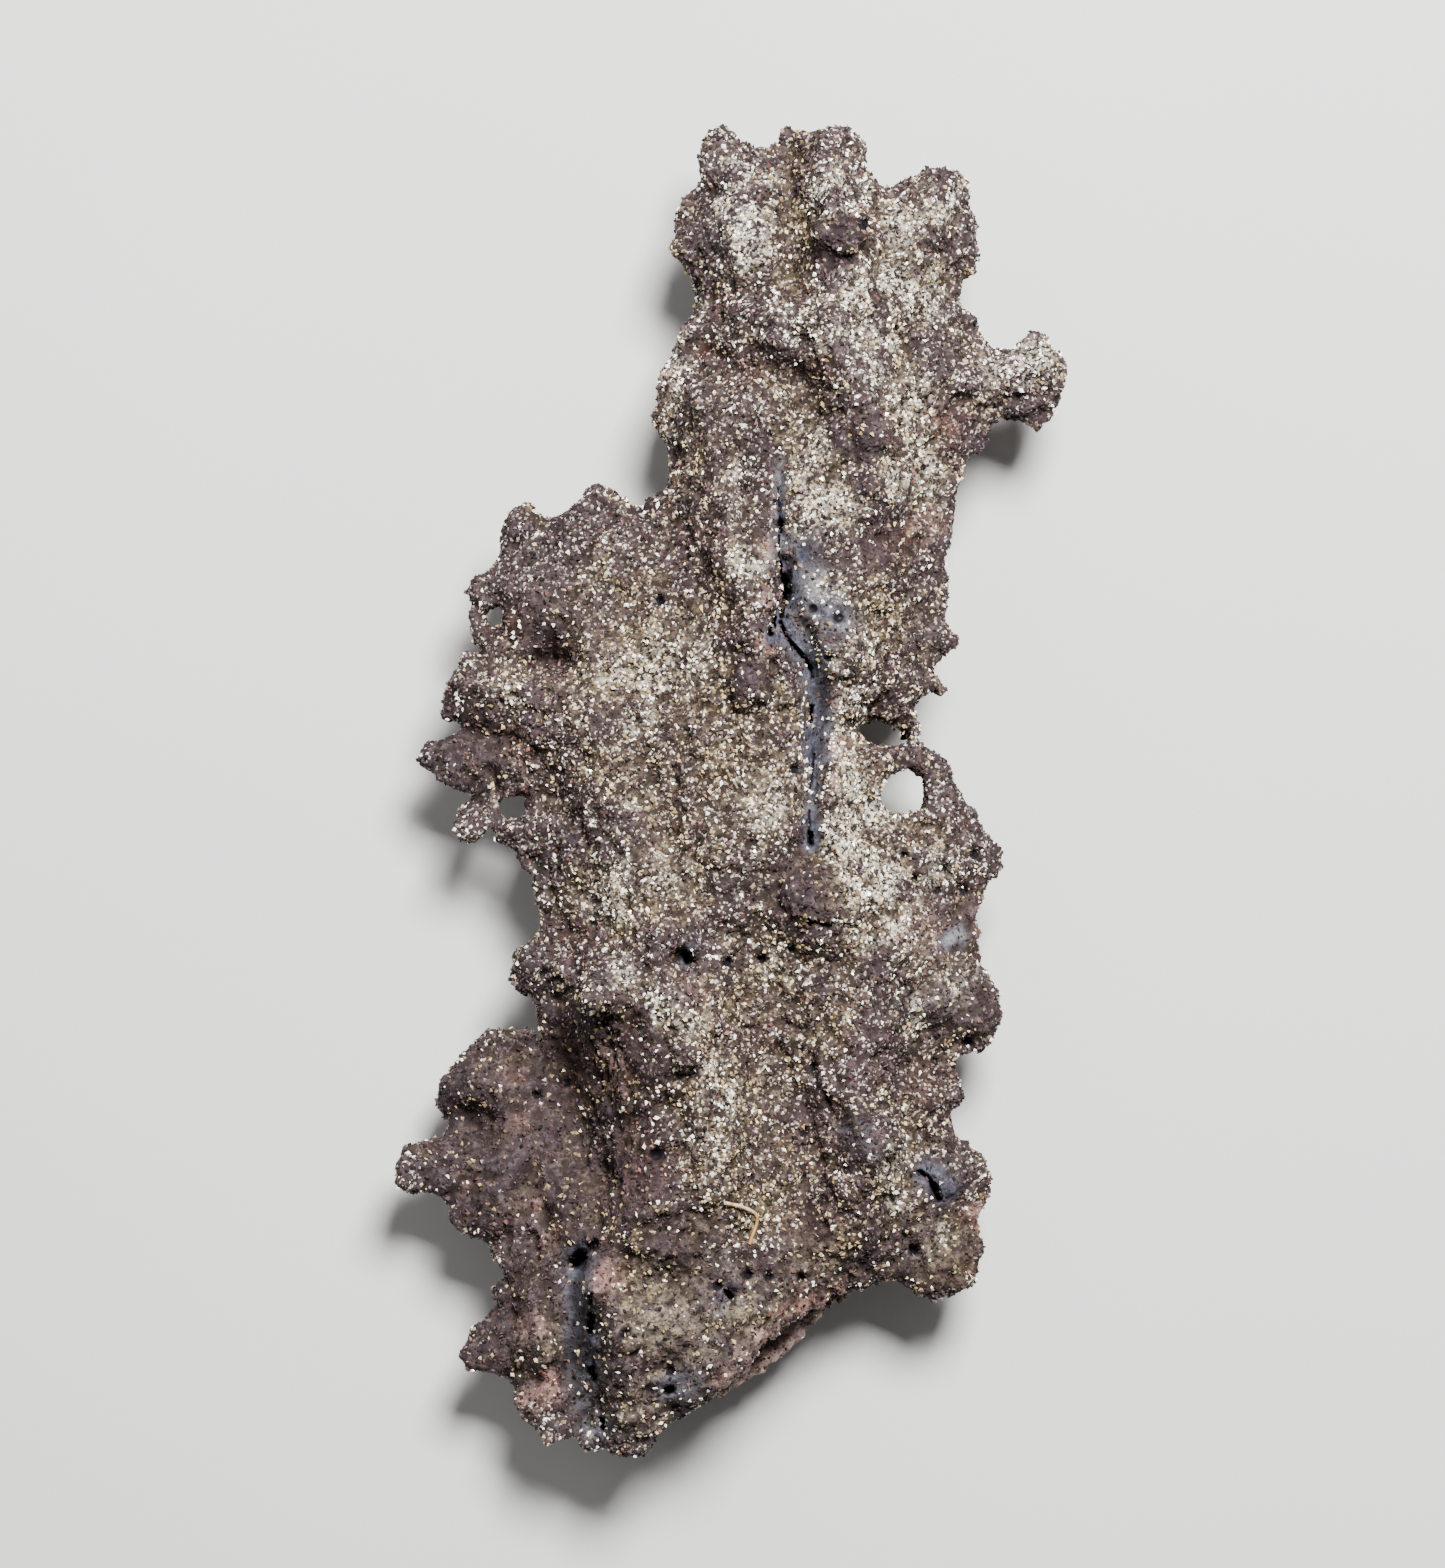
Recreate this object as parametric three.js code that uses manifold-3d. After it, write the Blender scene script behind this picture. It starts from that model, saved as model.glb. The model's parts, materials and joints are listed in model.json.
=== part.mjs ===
// Fulgurite: a flattened, winged branch of desert sand fused by lightning, lying on its back.
// Millimetres. +Y runs along the branch, +X across it, +Z up. It rests on z = 0, under its middle.
import * as THREE from 'three';
import { mergeVertices } from 'three/addons/utils/BufferGeometryUtils.js';
import Module from 'manifold-3d';

const wasm = await Module();
wasm.setup();

// Driving dimensions
const plateHeight = 8.4;      // middle of the branch's wall above the surface it rests on
const edgeThickness = 1.1;    // the glassy rim of the wings
const plateThickness = 6.6;   // the branch between its ridges, away from the rim
const rimWidth = 3.6;         // how far in from the rim the thickness builds up
const breakWidth = 1.6;       // how far in from a snapped edge the full thickness is reached
const breakFullness = 0.55;   // share of the full thickness that a snapped edge shows
const frontFacet = 1.22;      // spacing of the points that carry the front's relief
const backFacet = 2.1;        // and of those on the plainer underside
const facetStray = 0.22;      // how far such a point strays from the even grid, as a share of it
const lumpiness = 0.55;       // height of the small random swellings of the skin
const rimRounding = 1.3;      // how roundly the thickness builds up from a rim
const rimRelief = 0.25;       // share of the front's relief that runs out over the rim
const gridHalfWidth = 23;     // the relief reaches a little past the outline
const gridHalfLength = 44;
const cutHeight = 40;         // a cutter this tall passes through everything
const frontFloor = -1;        // the undersides of the blocks that are cut to shape
const outlineFloor = -0.5;
const backFloor = -2;
const cutOverlap = 0.1;       // how far a cut runs into the one below it
const otherDraw = 99;         // sets the second random number of a pair apart from the first

// Small swellings of the skin: weight, size, and where on the random pattern each one is read.
const frontSkin = [[0.6, 3.1, 0, 0], [0.6, 1.7, 50, 0]];
const backSkin = [[0.8, 3.4, 0, 70], [0.6, 1.8, 90, 0]];

// The outline, clockwise as seen from above, in stretches named for what they bound.
const neckLeft = [
  [-4.0, 19.6], [-4.1, 21.2], [-4.25, 22.6], [-5.05, 23.6], [-5.1, 24.05], [-4.8, 25.25], [-4.5, 26.9],
  [-3.9, 27.9], [-3.2, 27.95], [-3.45, 28.45], [-3.1, 29.5], [-2.25, 30.35], [-2.1, 32.1], [-2.85, 33.9],
  [-3.65, 34.9], [-3.5, 36.9], [-2.8, 37.9], [-2.2, 38.2], [-1.8, 39.5], [-2.05, 40.7], [-1.5, 41.5],
  [-1.5, 42.0], [-1.15, 42.45], [-0.6, 42.6], [-0.1, 42.3],
];
const topEnd = [
  [0.7, 41.4], [1.4, 41.15], [2.1, 41.1], [2.6, 40.75], [3.2, 41.15], [3.15, 42.1], [3.45, 42.45],
  [4.05, 42.5], [4.5, 42.15], [5.35, 42.15], [6.1, 42.4], [7.25, 42.3], [8.3, 41.5], [8.5, 40.9],
  [8.35, 40.3], [8.5, 39.5], [8.85, 38.75], [10.0, 38.3], [11.4, 38.7], [11.95, 39.4], [13.3, 39.8],
  [14.15, 39.8], [15.25, 39.25],
];
const topRight = [
  [15.35, 38.65], [15.1, 37.9], [15.35, 36.1], [15.7, 35.2], [15.7, 34.5], [15.1, 33.2], [14.55, 32.7],
  [14.4, 31.1], [15.8, 30.2], [15.6, 29.55], [15.7, 28.95], [16.7, 28.1],
];
const spur = [
  [17.2, 28.45], [17.95, 28.4], [18.6, 28.7], [19.3, 29.55], [19.65, 29.7], [20.4, 28.5], [21.6, 27.5],
  [21.7, 27.1], [21.45, 26.6], [21.2, 24.8], [20.65, 24.2], [19.9, 23.6], [19.25, 23.45], [17.85, 24.1],
  [17.2, 23.75], [16.3, 23.5], [16.0, 22.85], [16.1, 21.8],
];
const rightNotches = [
  [15.8, 21.45], [15.15, 21.6], [14.6, 21.3], [14.3, 19.5], [14.15, 17.4], [14.0, 16.2], [13.2, 15.0],
  [13.2, 14.5], [13.75, 13.9], [13.8, 12.4], [13.25, 11.3], [13.25, 10.8], [14.1, 9.95], [14.25, 9.5],
  [13.55, 8.7], [12.5, 8.5], [12.75, 8.0], [13.85, 6.65], [13.55, 6.2], [12.5, 6.25], [11.65, 5.4],
  [11.55, 4.65], [11.85, 3.9], [11.6, 3.35], [11.6, 2.7], [12.6, 2.75], [13.3, 2.45], [14.3, 1.45],
];
const rightWing = [
  [14.05, 0.95], [14.3, 0.3], [15.7, -1.5], [16.65, -3.2], [16.85, -4.2], [16.85, -5.05], [16.05, -6.4],
  [15.55, -7.9], [15.85, -9.7], [16.15, -11.1], [16.75, -12.85], [17.3, -13.6], [17.45, -14.2],
  [17.3, -15.1], [16.65, -15.95], [15.7, -16.65], [14.5, -16.95], [14.15, -17.4], [14.1, -18.1],
  [14.7, -19.2], [14.55, -19.7], [13.8, -20.25], [13.9, -20.95],
];
const lowerRight = [
  [14.25, -21.8], [15.0, -22.4], [16.05, -23.8], [16.5, -25.2], [16.55, -25.9], [16.05, -27.05],
  [15.6, -28.45], [16.15, -29.15], [15.85, -30.6], [15.1, -31.85], [14.45, -32.45], [13.35, -32.6],
  [12.4, -32.5], [10.6, -31.4], [9.75, -31.05], [8.8, -31.1], [8.5, -31.65], [7.6, -32.15],
];
const rearWall = [
  [6.45, -33.1], [5.85, -33.6], [5.7, -34.3], [5.35, -34.7], [4.75, -34.65], [4.4, -35.3], [3.55, -35.75],
  [2.4, -37.25], [1.55, -37.8], [0, -38.4], [-1.5, -38.95],
];
const brokenEnd = [
  [-3.05, -39.6], [-4.25, -40.0], [-4.95, -41.1], [-5.55, -42.45], [-7.5, -42.5], [-7.65, -41.5],
  [-8.65, -42.0], [-9.65, -41.7], [-9.85, -41.3], [-10.65, -41.2], [-11.9, -41.75], [-12.5, -40.6],
  [-13.3, -39.95], [-13.15, -39.65],
];
const endFin = [
  [-14.0, -38.5], [-15.05, -37.5], [-16.8, -37.15], [-17.35, -36.75], [-17.35, -36.25], [-17.05, -35.9],
  [-16.75, -34.5], [-15.3, -33.6], [-15.0, -33.1], [-15.25, -32.15], [-14.6, -31.0], [-15.0, -29.8],
];
const lowerLeftLobe = [
  [-15.75, -28.85], [-17.4, -28.2], [-18.0, -27.65], [-18.55, -26.9], [-18.3, -26.45], [-19.7, -25.75],
  [-20.8, -26.0], [-21.3, -25.7], [-21.25, -25.25], [-21.65, -24.75], [-21.6, -23.85], [-21.2, -23.0],
  [-20.6, -22.75], [-18.55, -22.4], [-18.2, -20.6], [-18.75, -20.2], [-19.0, -19.05], [-18.4, -18.25],
  [-17.5, -17.1], [-15.85, -16.05], [-14.5, -15.55], [-13.05, -15.6], [-12.8, -16.3], [-12.45, -16.8],
  [-12.0, -15.8], [-12.45, -14.8], [-12.1, -13.85],
];
const leftWaist = [
  [-12.5, -13.25], [-14.25, -12.6], [-13.95, -11.95], [-14.0, -10.2], [-12.95, -9.9], [-12.0, -8.05],
  [-12.55, -6.6], [-12.7, -5.1], [-13.3, -5.4], [-13.8, -5.1], [-13.55, -4.0], [-13.8, -3.5],
  [-13.65, -2.9],
];
const leftTeeth = [
  [-14.75, -2.75], [-15.0, -2.2], [-16.05, -2.4], [-16.35, -3.1], [-17.55, -2.9], [-17.65, -1.6],
  [-17.5, -0.9], [-16.35, -0.15], [-16.3, 0.1], [-18.05, 0.15], [-18.75, 0.5], [-19.0, 1.05],
  [-20.35, 1.85], [-20.4, 2.15], [-19.5, 3.15], [-18.75, 3.55], [-18.3, 3.3], [-17.05, 4.2],
  [-16.95, 4.65], [-18.05, 4.85], [-18.55, 4.6], [-18.7, 5.7], [-18.15, 6.55], [-18.15, 7.15],
  [-17.45, 8.45], [-16.9, 9.05], [-16.4, 8.65], [-15.15, 8.7], [-15.15, 9.1],
];
const upperLeftWing = [
  [-15.9, 9.1], [-16.85, 10.1], [-16.95, 10.55], [-16.3, 12.0], [-16.7, 13.2], [-16.55, 13.9],
  [-15.15, 14.4], [-14.95, 15.85], [-14.55, 17.15], [-14.65, 17.85], [-13.25, 18.4], [-12.2, 17.8],
  [-11.85, 17.25], [-11.25, 17.2], [-10.3, 18.05], [-9.55, 18.15], [-9.15, 19.3], [-8.15, 19.4],
  [-6.95, 18.7], [-6.0, 18.05], [-5.3, 18.95], [-4.7, 18.85],
];

// Holes melted right through the wings.
const slitHole = [
  [7.95, 3.75], [8.55, 4.4], [9.15, 4.65], [9.8, 3.85], [11.2, 3.75], [10.85, 3.0], [9.7, 3.2],
  [8.95, 3.05],
];
const starHole = [
  [10.8, 1.25], [12.2, 1.2], [12.3, 0.05], [12.5, -0.55], [11.95, -1.3], [10.15, -0.7], [10.1, -0.05],
  [10.55, 0.55],
];
const leftHole = [
  [-14.55, -1.0], [-14.25, -0.45], [-13.65, -0.25], [-13.2, -1.15], [-13.55, -1.9], [-14.4, -1.5],
];
const upperLeftHole = [[-15.9, 10.6], [-15.65, 11.2], [-14.5, 11.55], [-14.95, 10.95], [-15.4, 10.85]];

// A thin rim runs round the wings; at its two ends the branch is snapped off at half its thickness or more.
const snapped = [topEnd, rearWall, brokenEnd];
const rims = [
  neckLeft, topRight, spur, rightNotches, rightWing, lowerRight, endFin, lowerLeftLobe, leftWaist,
  leftTeeth, upperLeftWing,
];
const holes = [slitHole, starHole, leftHole, upperLeftHole];
const outline = [
  ...neckLeft, ...topEnd, ...topRight, ...spur, ...rightNotches, ...rightWing, ...lowerRight,
  ...rearWall, ...brokenEnd, ...endFin, ...lowerLeftLobe, ...leftWaist, ...leftTeeth, ...upperLeftWing,
];

// Where the whole wall lies higher or lower than plateHeight: x, y, radius, rise.
const sags = [
  [-15, -21, 11, -3.4], [-14, -36, 8, -1.6], [-18, 3, 8, -1.2], [17, -14, 7, -1.0], [19, 26, 6, -0.8],
  [13, -28, 8, -1.0], [-14, 13, 8, -0.8], [3, 42, 9, -0.6], [-8, -41, 7, -1.6], [13, 10, 6, -0.8],
];

// Long forms: half-width, then points of x, y and height. The swell is the body of the branch itself.
const frontSwell = [
  {
    halfWidth: 12,
    line: [[4.5, 41, 1.6], [4.6, 30, 3.2], [4.2, 14, 4.3], [3.2, 2, 4.4], [2, -8, 3.6], [1, -20, 3.0],
      [-2, -30, 2.6], [-5, -39, 1.6]],
  },
];
const frontRidges = [
  { halfWidth: 2.3, line: [[-0.7, 42, 1.3], [-0.2, 36, 2.2], [0.4, 31, 1.6]] },
  { halfWidth: 1.9, line: [[6, 42, 1.4], [6.3, 38, 2.0], [6.7, 35.6, 2.6]] },
  { halfWidth: 2.2, line: [[14, 39.2, 1.5], [13.2, 36, 1.9], [12, 33, 1.4]] },
  { halfWidth: 3.1, line: [[-1.2, 29, 0.9], [1.5, 29.6, 1.5], [5, 29.6, 2], [9, 30.6, 1.7], [12, 30.6, 1]] },
  { halfWidth: 2.7, line: [[6.4, 28.6, 2.0], [8, 26.4, 2.4], [8.5, 22, 2.5], [9, 18, 1.7], [9.4, 12, 1.3]] },
  { halfWidth: 2.1, line: [[12.6, 26.6, 1.2], [17.2, 26.6, 2.1], [20.3, 26.6, 1.8]] },
  { halfWidth: 2.7, line: [[-2.4, 25, 2], [-1.9, 20, 2.3], [-1, 17, 2.1], [0.6, 13, 1.9], [1.9, 9.6, 1.5]] },
  { halfWidth: 1.9, line: [[7.2, 13, 1.0], [6.9, 6, 1.9], [6.8, 0, 2.0], [7, -5, 1.6], [10, -8, 1.0]] },
  {
    halfWidth: 3.6,
    line: [[-9.4, 11, 1.2], [-8.6, 3, 1.9], [-6.6, -5.7, 2.4], [-5, -10, 2.8], [-3.4, -15, 2.9],
      [-2.3, -19.4, 2.4], [-1.6, -24.4, 1.6]],
  },
  {
    halfWidth: 3.4,
    line: [[-8.2, -9.4, 1.6], [-6.8, -13, 2.6], [-5.4, -18, 2.5], [-5.2, -23, 2.1], [-5.8, -27.4, 1.6]],
  },
  {
    halfWidth: 3.0,
    line: [[11, -8, 1.2], [9.4, -14, 1.8], [8.2, -19, 2.4], [8.4, -24.5, 2.6], [7.4, -29.6, 2.2]],
  },
  { halfWidth: 2.2, line: [[14.2, -3, 1.2], [14.6, -9, 1.8], [13.4, -14, 1.9], [12.6, -19, 1.3]] },
  { halfWidth: 1.5, line: [[-18, 6.8, 1.5], [-14, 6.9, 2.0], [-9.8, 6.4, 1.6]] },
  { halfWidth: 1.3, line: [[-12.2, 3.6, 1.6], [-14.6, 1.2, 1.4], [-13, -2.6, 1.2]] },
  { halfWidth: 1.3, line: [[-19.6, 2.2, 1.1], [-16, 2.4, 1.2]] },
  { halfWidth: 2.0, line: [[-13.4, 17, 1.0], [-9.4, 16, 1.4], [-5.4, 15, 1.0]] },
  { halfWidth: 1.8, line: [[-15.6, 12.6, 1.2], [-13.4, 11, 1.4], [-13.6, 8.6, 1.1]] },
  { halfWidth: 1.8, line: [[-14, -16.6, 1.3], [-13.9, -20, 1.9], [-14.4, -23.6, 1.7], [-15.2, -27, 1.0]] },
  { halfWidth: 1.5, line: [[-16.4, -24.2, 1.4], [-20.6, -24.2, 1.3]] },
  { halfWidth: 1.5, line: [[-13.2, -31.4, 1.4], [-12.7, -35, 1.7], [-11.8, -38.6, 1.3]] },
  { halfWidth: 1.8, line: [[-8.2, -29.6, 1.5], [-7.5, -34.4, 2.0], [-6.8, -39.6, 1.4]] },
];
const frontTroughs = [
  { halfWidth: 1.8, line: [[3.2, 41, 1.2], [3.9, 36, 1.9], [4.2, 32.8, 1.3]] },
  { halfWidth: 1.7, line: [[9.2, 38.6, 1.0], [9.6, 35, 1.2], [10, 33, 0.6]] },
  { halfWidth: 1.9, line: [[4.7, 27.8, 1.0], [4.2, 24.6, 1.6], [3.3, 21, 1.2]] },
  { halfWidth: 1.6, line: [[12, 24.4, 1.2], [12.4, 19, 1.3], [12, 14, 1.0]] },
  {
    halfWidth: 4.4,
    line: [[2, -7.4, 1.2], [1.8, -12, 2.6], [2.6, -18, 2.9], [3.2, -24, 2.4], [2.6, -28.6, 1.1]],
  },
  {
    halfWidth: 1.9,
    line: [[3.1, 19, 0.7], [3.6, 14.4, 1.7], [3.8, 11, 1.7], [5, 8.4, 1.9], [5.3, 4, 2.3],
      [5.2, -3.4, 1.4]],
  },
  { halfWidth: 2.9, line: [[-10, -14, 1.6], [-9.6, -18, 2.7], [-9.2, -22, 2.7], [-8.6, -26.6, 1.7]] },
  { halfWidth: 2.1, line: [[-9.9, -28.8, 1.5], [-9.8, -34, 2.2], [-10.2, -37.5, 2.1], [-9.3, -41, 1.6]] },
  { halfWidth: 1.1, line: [[-16.4, 4.7, 1.0], [-13.6, 4.9, 1.6], [-11.8, 4.6, 1.0]] },
  { halfWidth: 1.7, line: [[11.6, -15.6, 0.9], [11.4, -20, 1.4], [11.8, -22.4, 0.9]] },
];

// Round forms: x, y, radius, height.
const frontLumps = [
  [-2.9, 26, 2.2, 1.1], [-2.4, 32.4, 1.4, 0.5], [1.3, 7.5, 1.7, 1.2], [5.3, -6.5, 2.3, 1.6],
  [-7, -12, 2.4, 1.1], [-2.5, -16.3, 1.2, 0.9], [13.6, 31, 1.6, 0.9], [-11, 3.2, 1.5, 0.9],
  [-11.8, -4.2, 1.7, 1.1], [-13, -11, 1.3, 0.8], [-16.4, -18.4, 1.7, 1.0], [-10, -26, 1.6, 1.5],
  [8.3, -22, 2.0, 1.1], [9.6, -24.4, 1.3, 0.7], [15.6, -14.4, 1.6, 0.9], [12.8, -11.4, 1.5, 0.7],
  [-6.4, -34, 1.6, 0.9], [-3.6, -34.2, 1.8, 1.0], [0.6, -34, 1.6, 0.6], [12.6, -24.8, 2.1, 0.9],
  [13, -29.6, 2.2, 0.9], [15, 22.6, 1.4, 0.5], [20.2, 28, 1.3, 0.7], [-15, -36, 1.6, 0.8],
  [-11.6, 14, 1.8, 0.8], [-6, 9, 1.9, 0.7], [-3.4, 3, 2.2, 0.6], [-1.4, -3.4, 2.2, 0.7],
  [10.6, 21.4, 1.5, 0.7], [11.6, 9.6, 1.6, 0.8], [13.6, -17.8, 1.3, 0.8], [3.6, -31.6, 1.5, 0.8],
];
const frontHollows = [
  [8.7, 36.6, 1.7, 1.2], [-11.4, 8.9, 2.5, 2.2], [-10.6, -9.4, 1.9, 1.6], [-1.6, 28.1, 1.1, 1.0],
  [19.6, 25.1, 1.2, 0.6], [-3.4, 14.8, 2.0, 1.0], [-7.4, 12.4, 2.0, 0.9], [-3, -10.5, 1.3, 1.3],
  [-3.2, -30.6, 2.2, 1.0], [-0.3, -32.3, 1.5, 1.0], [11.6, -29.2, 1.2, 0.7], [9.2, -2.6, 2.0, 0.9],
  [-17, -20.6, 1.6, 0.8], [-12.2, -29.4, 1.5, 0.9], [4.4, 18, 1.6, 0.5], [10.8, 28.4, 1.5, 0.8],
];

// The underside: a keel with ridges of its own, and blunt feet that the branch lies on.
const backSwell = [
  {
    halfWidth: 10,
    line: [[5, 40, 1.0], [4.6, 27, 2.6], [2, 9, 3.4], [3, -8, 3.2], [0, -24, 3.0], [-5, -38, 1.4]],
  },
];
const backRidges = [
  { halfWidth: 2.4, line: [[1, 41, 1.2], [1, 30, 1.8], [-1, 20, 1.4], [-4, 8, 1.5], [-6, -4, 1.2]] },
  { halfWidth: 2.6, line: [[12, 36, 1.2], [10.6, 22, 1.6], [8.6, 8, 1.2], [11.4, -8, 1.7], [12, -24, 1.3]] },
  { halfWidth: 2.0, line: [[6, 34, 0.8], [20, 26, 1.5]] },
  { halfWidth: 2.2, line: [[-8, 12, 1.4], [-14, 8, 1.4], [-18, 3, 0.8]] },
  { halfWidth: 2.4, line: [[-4, -12, 1.4], [-12, -19, 1.8], [-18, -24, 1.2]] },
  { halfWidth: 2.4, line: [[4, -20, 1.2], [0, -31, 1.4], [-9, -36, 1.4]] },
];
const backTroughs = [
  { halfWidth: 2.2, line: [[5.4, 24, 1.2], [3.8, 12, 1.7], [3, 0, 1.4]] },
  { halfWidth: 2.2, line: [[6, -12, 1.2], [6.4, -22, 1.6], [5.6, -29, 1.0]] },
  { halfWidth: 2.0, line: [[-2.4, -17, 1.2], [-5.6, -28, 1.6]] },
];
const backHollows = [
  [-10.6, 0, 2.6, 1.2], [8, 33, 2.4, 1.0], [11.6, -16, 2.4, 1.1], [-9, -26, 2.4, 1.2], [-5, 15, 2.2, 0.8],
];
const feet = [[3.2, 31.4, 4.6], [9, 13.4, 3.8], [-6.6, 4.6, 4.6], [9, -13, 4.6], [-4.4, -32.4, 4.6]];
const footRise = 5.6;         // how far a blunt foot's flank climbs over its radius, given third above
const footWear = 1.8;         // how much of its tip is worn off flat

// Knobs that overhang what they stand on: x, y, then the half sizes along X, Y and Z.
const knobSink = 0.5;         // how far a knob's middle lies under the front, as a share of its height
const knobUnevenness = 0.22;
const knobSwelling = 3;       // size of its uneven swellings, on a pattern spread over it as follows
const knobPattern = 9;
const knobPatternUp = 7;
const knobRounds = 1;         // how often its facets are halved
const knobs = [
  [6.8, 35.3, 2.0, 1.5, 1.6], [8.7, 23.4, 1.5, 2.3, 1.4], [-7.2, -12.2, 2.4, 1.8, 1.6],
  [5.2, -6.4, 2.1, 2.0, 1.6], [8.9, -21.8, 1.6, 2.1, 1.5], [1.3, 6.8, 1.1, 1.6, 1.2],
  [-2.6, -16.3, 1.1, 1.0, 1.2], [20.2, 26.8, 1.4, 1.2, 1.1], [15.6, -14.5, 1.4, 1.2, 1.2],
  [-8.3, -31, 1.0, 1.6, 1.3], [-13, -38.9, 1.0, 0.9, 1.0],
];

// The winding crack down the middle, round its mouth, and the level of its floor.
const crack = [
  [2.9, 17.6], [3.0, 15.2], [2.75, 14.3], [2.9, 12.2], [2.4, 11.1], [2.4, 10.2], [3.0, 9.9], [4.2, 8.7],
  [4.6, 7.2], [4.7, 4.5], [4.9, 2], [4.9, -1.4], [4.6, -2.6], [4.9, -3.5], [5.4, -3.2], [5.45, -2.2],
  [5.3, -0.6], [5.5, 2], [5.8, 4], [5.7, 6.6], [5.1, 8.6], [4, 10.2], [3.5, 11.2], [3.8, 12.6],
  [3.6, 14.4], [3.4, 15.6], [3.3, 17.6],
];
const crackFloor = 11.8;

// Cavities, seen as dark mouths in the front: x, y, half-width, half-length, turn in degrees, depth.
const cavities = [
  [3.3, 13.4, 0.5, 1.3, 8, 4.5], [2.75, 10.6, 0.4, 0.5, -15, 4], [5.1, -2.7, 0.4, 0.8, 0, 3.8],
  [-3, -10.6, 0.75, 1.0, 10, 2], [-9.8, -29.8, 0.8, 0.9, 0, 2.6], [-9, -34, 0.5, 0.9, 5, 2.2],
  [-8.9, -37.1, 0.45, 0.75, 0, 2], [-0.3, -32.3, 0.6, 0.85, 10, 2.4], [-4, -38.2, 0.55, 0.5, 0, 2],
  [12.3, -24.6, 0.5, 0.5, 0, 1.6], [13.1, -25.6, 0.5, 0.7, 15, 1.6], [5, -8.6, 0.4, 0.35, 0, 1.6],
];

const cavitySides = 7;
const mouthFlare = 1.35;      // width just above the mouth, as a share of the mouth's
const floorShare = 0.5;       // width at the floor, likewise
const cavityClearance = 1.5;  // how far a cavity's cutter stands above the front

// The snapped lower end: the front wall stops short at a break and the rear wall runs on below it.
const breakLine = [
  [7.6, -32.0], [5.2, -32.9], [4, -33.3], [3, -34], [2, -34.8], [1.2, -35.8], [0.6, -36.8], [-0.3, -37.6],
  [-1.6, -38.7],
];
const beyondBreak = [[-1.2, -41], [4, -39], [9, -35]];
const rearWallTop = 6.4;
const mouthHeight = 1.5;      // the flat mouth of the collapsed tube, between the two walls
const mouthDepth = 3;
const inward = [0.5, 0.85];   // the way into the branch from its break, to the upper left
const smallestFace = 1e-4;

const bell = (t) => (t < 1 ? (1 - t * t) ** 2 : 0);
const between = (a, b, t) => a + (b - a) * t;
const highest = (values) => values.reduce((best, value) => Math.max(best, value), 0);

// A repeatable random number from 0 to 1 for each pair of whole numbers.
function scatter(i, j) {
  const s = Math.sin(i * 127.1 + j * 311.7) * 43758.5453;
  return s - Math.floor(s);
}

// Smooth random swellings from -1 to 1, about one every size mm.
function swelling(x, y, size) {
  const i = Math.floor(x / size);
  const j = Math.floor(y / size);
  const ease = (t) => t * t * (3 - 2 * t);
  const u = ease(x / size - i);
  const v = ease(y / size - j);
  const low = between(scatter(i, j), scatter(i + 1, j), u);
  const high = between(scatter(i, j + 1), scatter(i + 1, j + 1), u);
  return 2 * between(low, high, v) - 1;
}

const smallSwellings = (skin, x, y) => lumpiness * skin.reduce(
  (sum, [weight, size, aside, along]) => sum + weight * swelling(x + aside, y + along, size),
  0,
);

// The nearest point of a line of points: its distance, and the height there.
function nearestOn(line, x, y) {
  let best = { distance: Infinity, height: 0 };
  for (let i = 0; i + 1 < line.length; i += 1) {
    const [ax, ay, aHeight = 0] = line[i];
    const [bx, by, bHeight = 0] = line[i + 1];
    const run = (bx - ax) ** 2 + (by - ay) ** 2;
    const along = THREE.MathUtils.clamp(((x - ax) * (bx - ax) + (y - ay) * (by - ay)) / run, 0, 1);
    const distance = Math.hypot(x - between(ax, bx, along), y - between(ay, by, along));
    if (distance < best.distance) {
      best = { distance, height: between(aHeight, bHeight, along) };
    }
  }
  return best;
}

const longForms = (forms, x, y) => highest(forms.map(({ halfWidth, line }) => {
  const { distance, height } = nearestOn(line, x, y);
  return height * bell(distance / halfWidth);
}));
const roundForms = (forms, x, y) => highest(forms.map(
  ([cx, cy, radius, height]) => height * bell(Math.hypot(x - cx, y - cy) / radius),
));

const distanceTo = (edges, x, y) => Math.min(...edges.map((edge) => nearestOn(edge, x, y).distance));
const rising = (distance, width) => 1 - Math.exp(-((distance / width) ** rimRounding));
const closedHoles = holes.map((hole) => [...hole, hole[0]]);

// How much of the full thickness and relief there is at a point: 0 at a rim, 1 well inside.
function fullness(x, y) {
  const fromRim = rising(distanceTo([...rims, ...closedHoles], x, y), rimWidth);
  const fromBreak = rising(distanceTo(snapped, x, y), breakWidth);
  return fromRim * between(breakFullness, 1, fromBreak);
}

const middleHeight = (x, y) => plateHeight + sags.reduce(
  (sum, [cx, cy, radius, rise]) => sum + rise * bell(Math.hypot(x - cx, y - cy) / radius),
  0,
);

function frontHeight(x, y) {
  const full = fullness(x, y);
  const skin = smallSwellings(frontSkin, x, y);
  const raised = longForms(frontSwell, x, y) + longForms(frontRidges, x, y) + roundForms(frontLumps, x, y);
  const sunk = longForms(frontTroughs, x, y) + roundForms(frontHollows, x, y);
  const thickness = between(edgeThickness, plateThickness, full) / 2;
  return middleHeight(x, y) + thickness + between(rimRelief, 1, full) * (raised - sunk + skin);
}

const footHeight = (x, y) => Math.min(...feet.map(
  ([cx, cy, radius]) => footRise * (Math.hypot(x - cx, y - cy) / radius) ** 2 - footWear,
));

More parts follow.
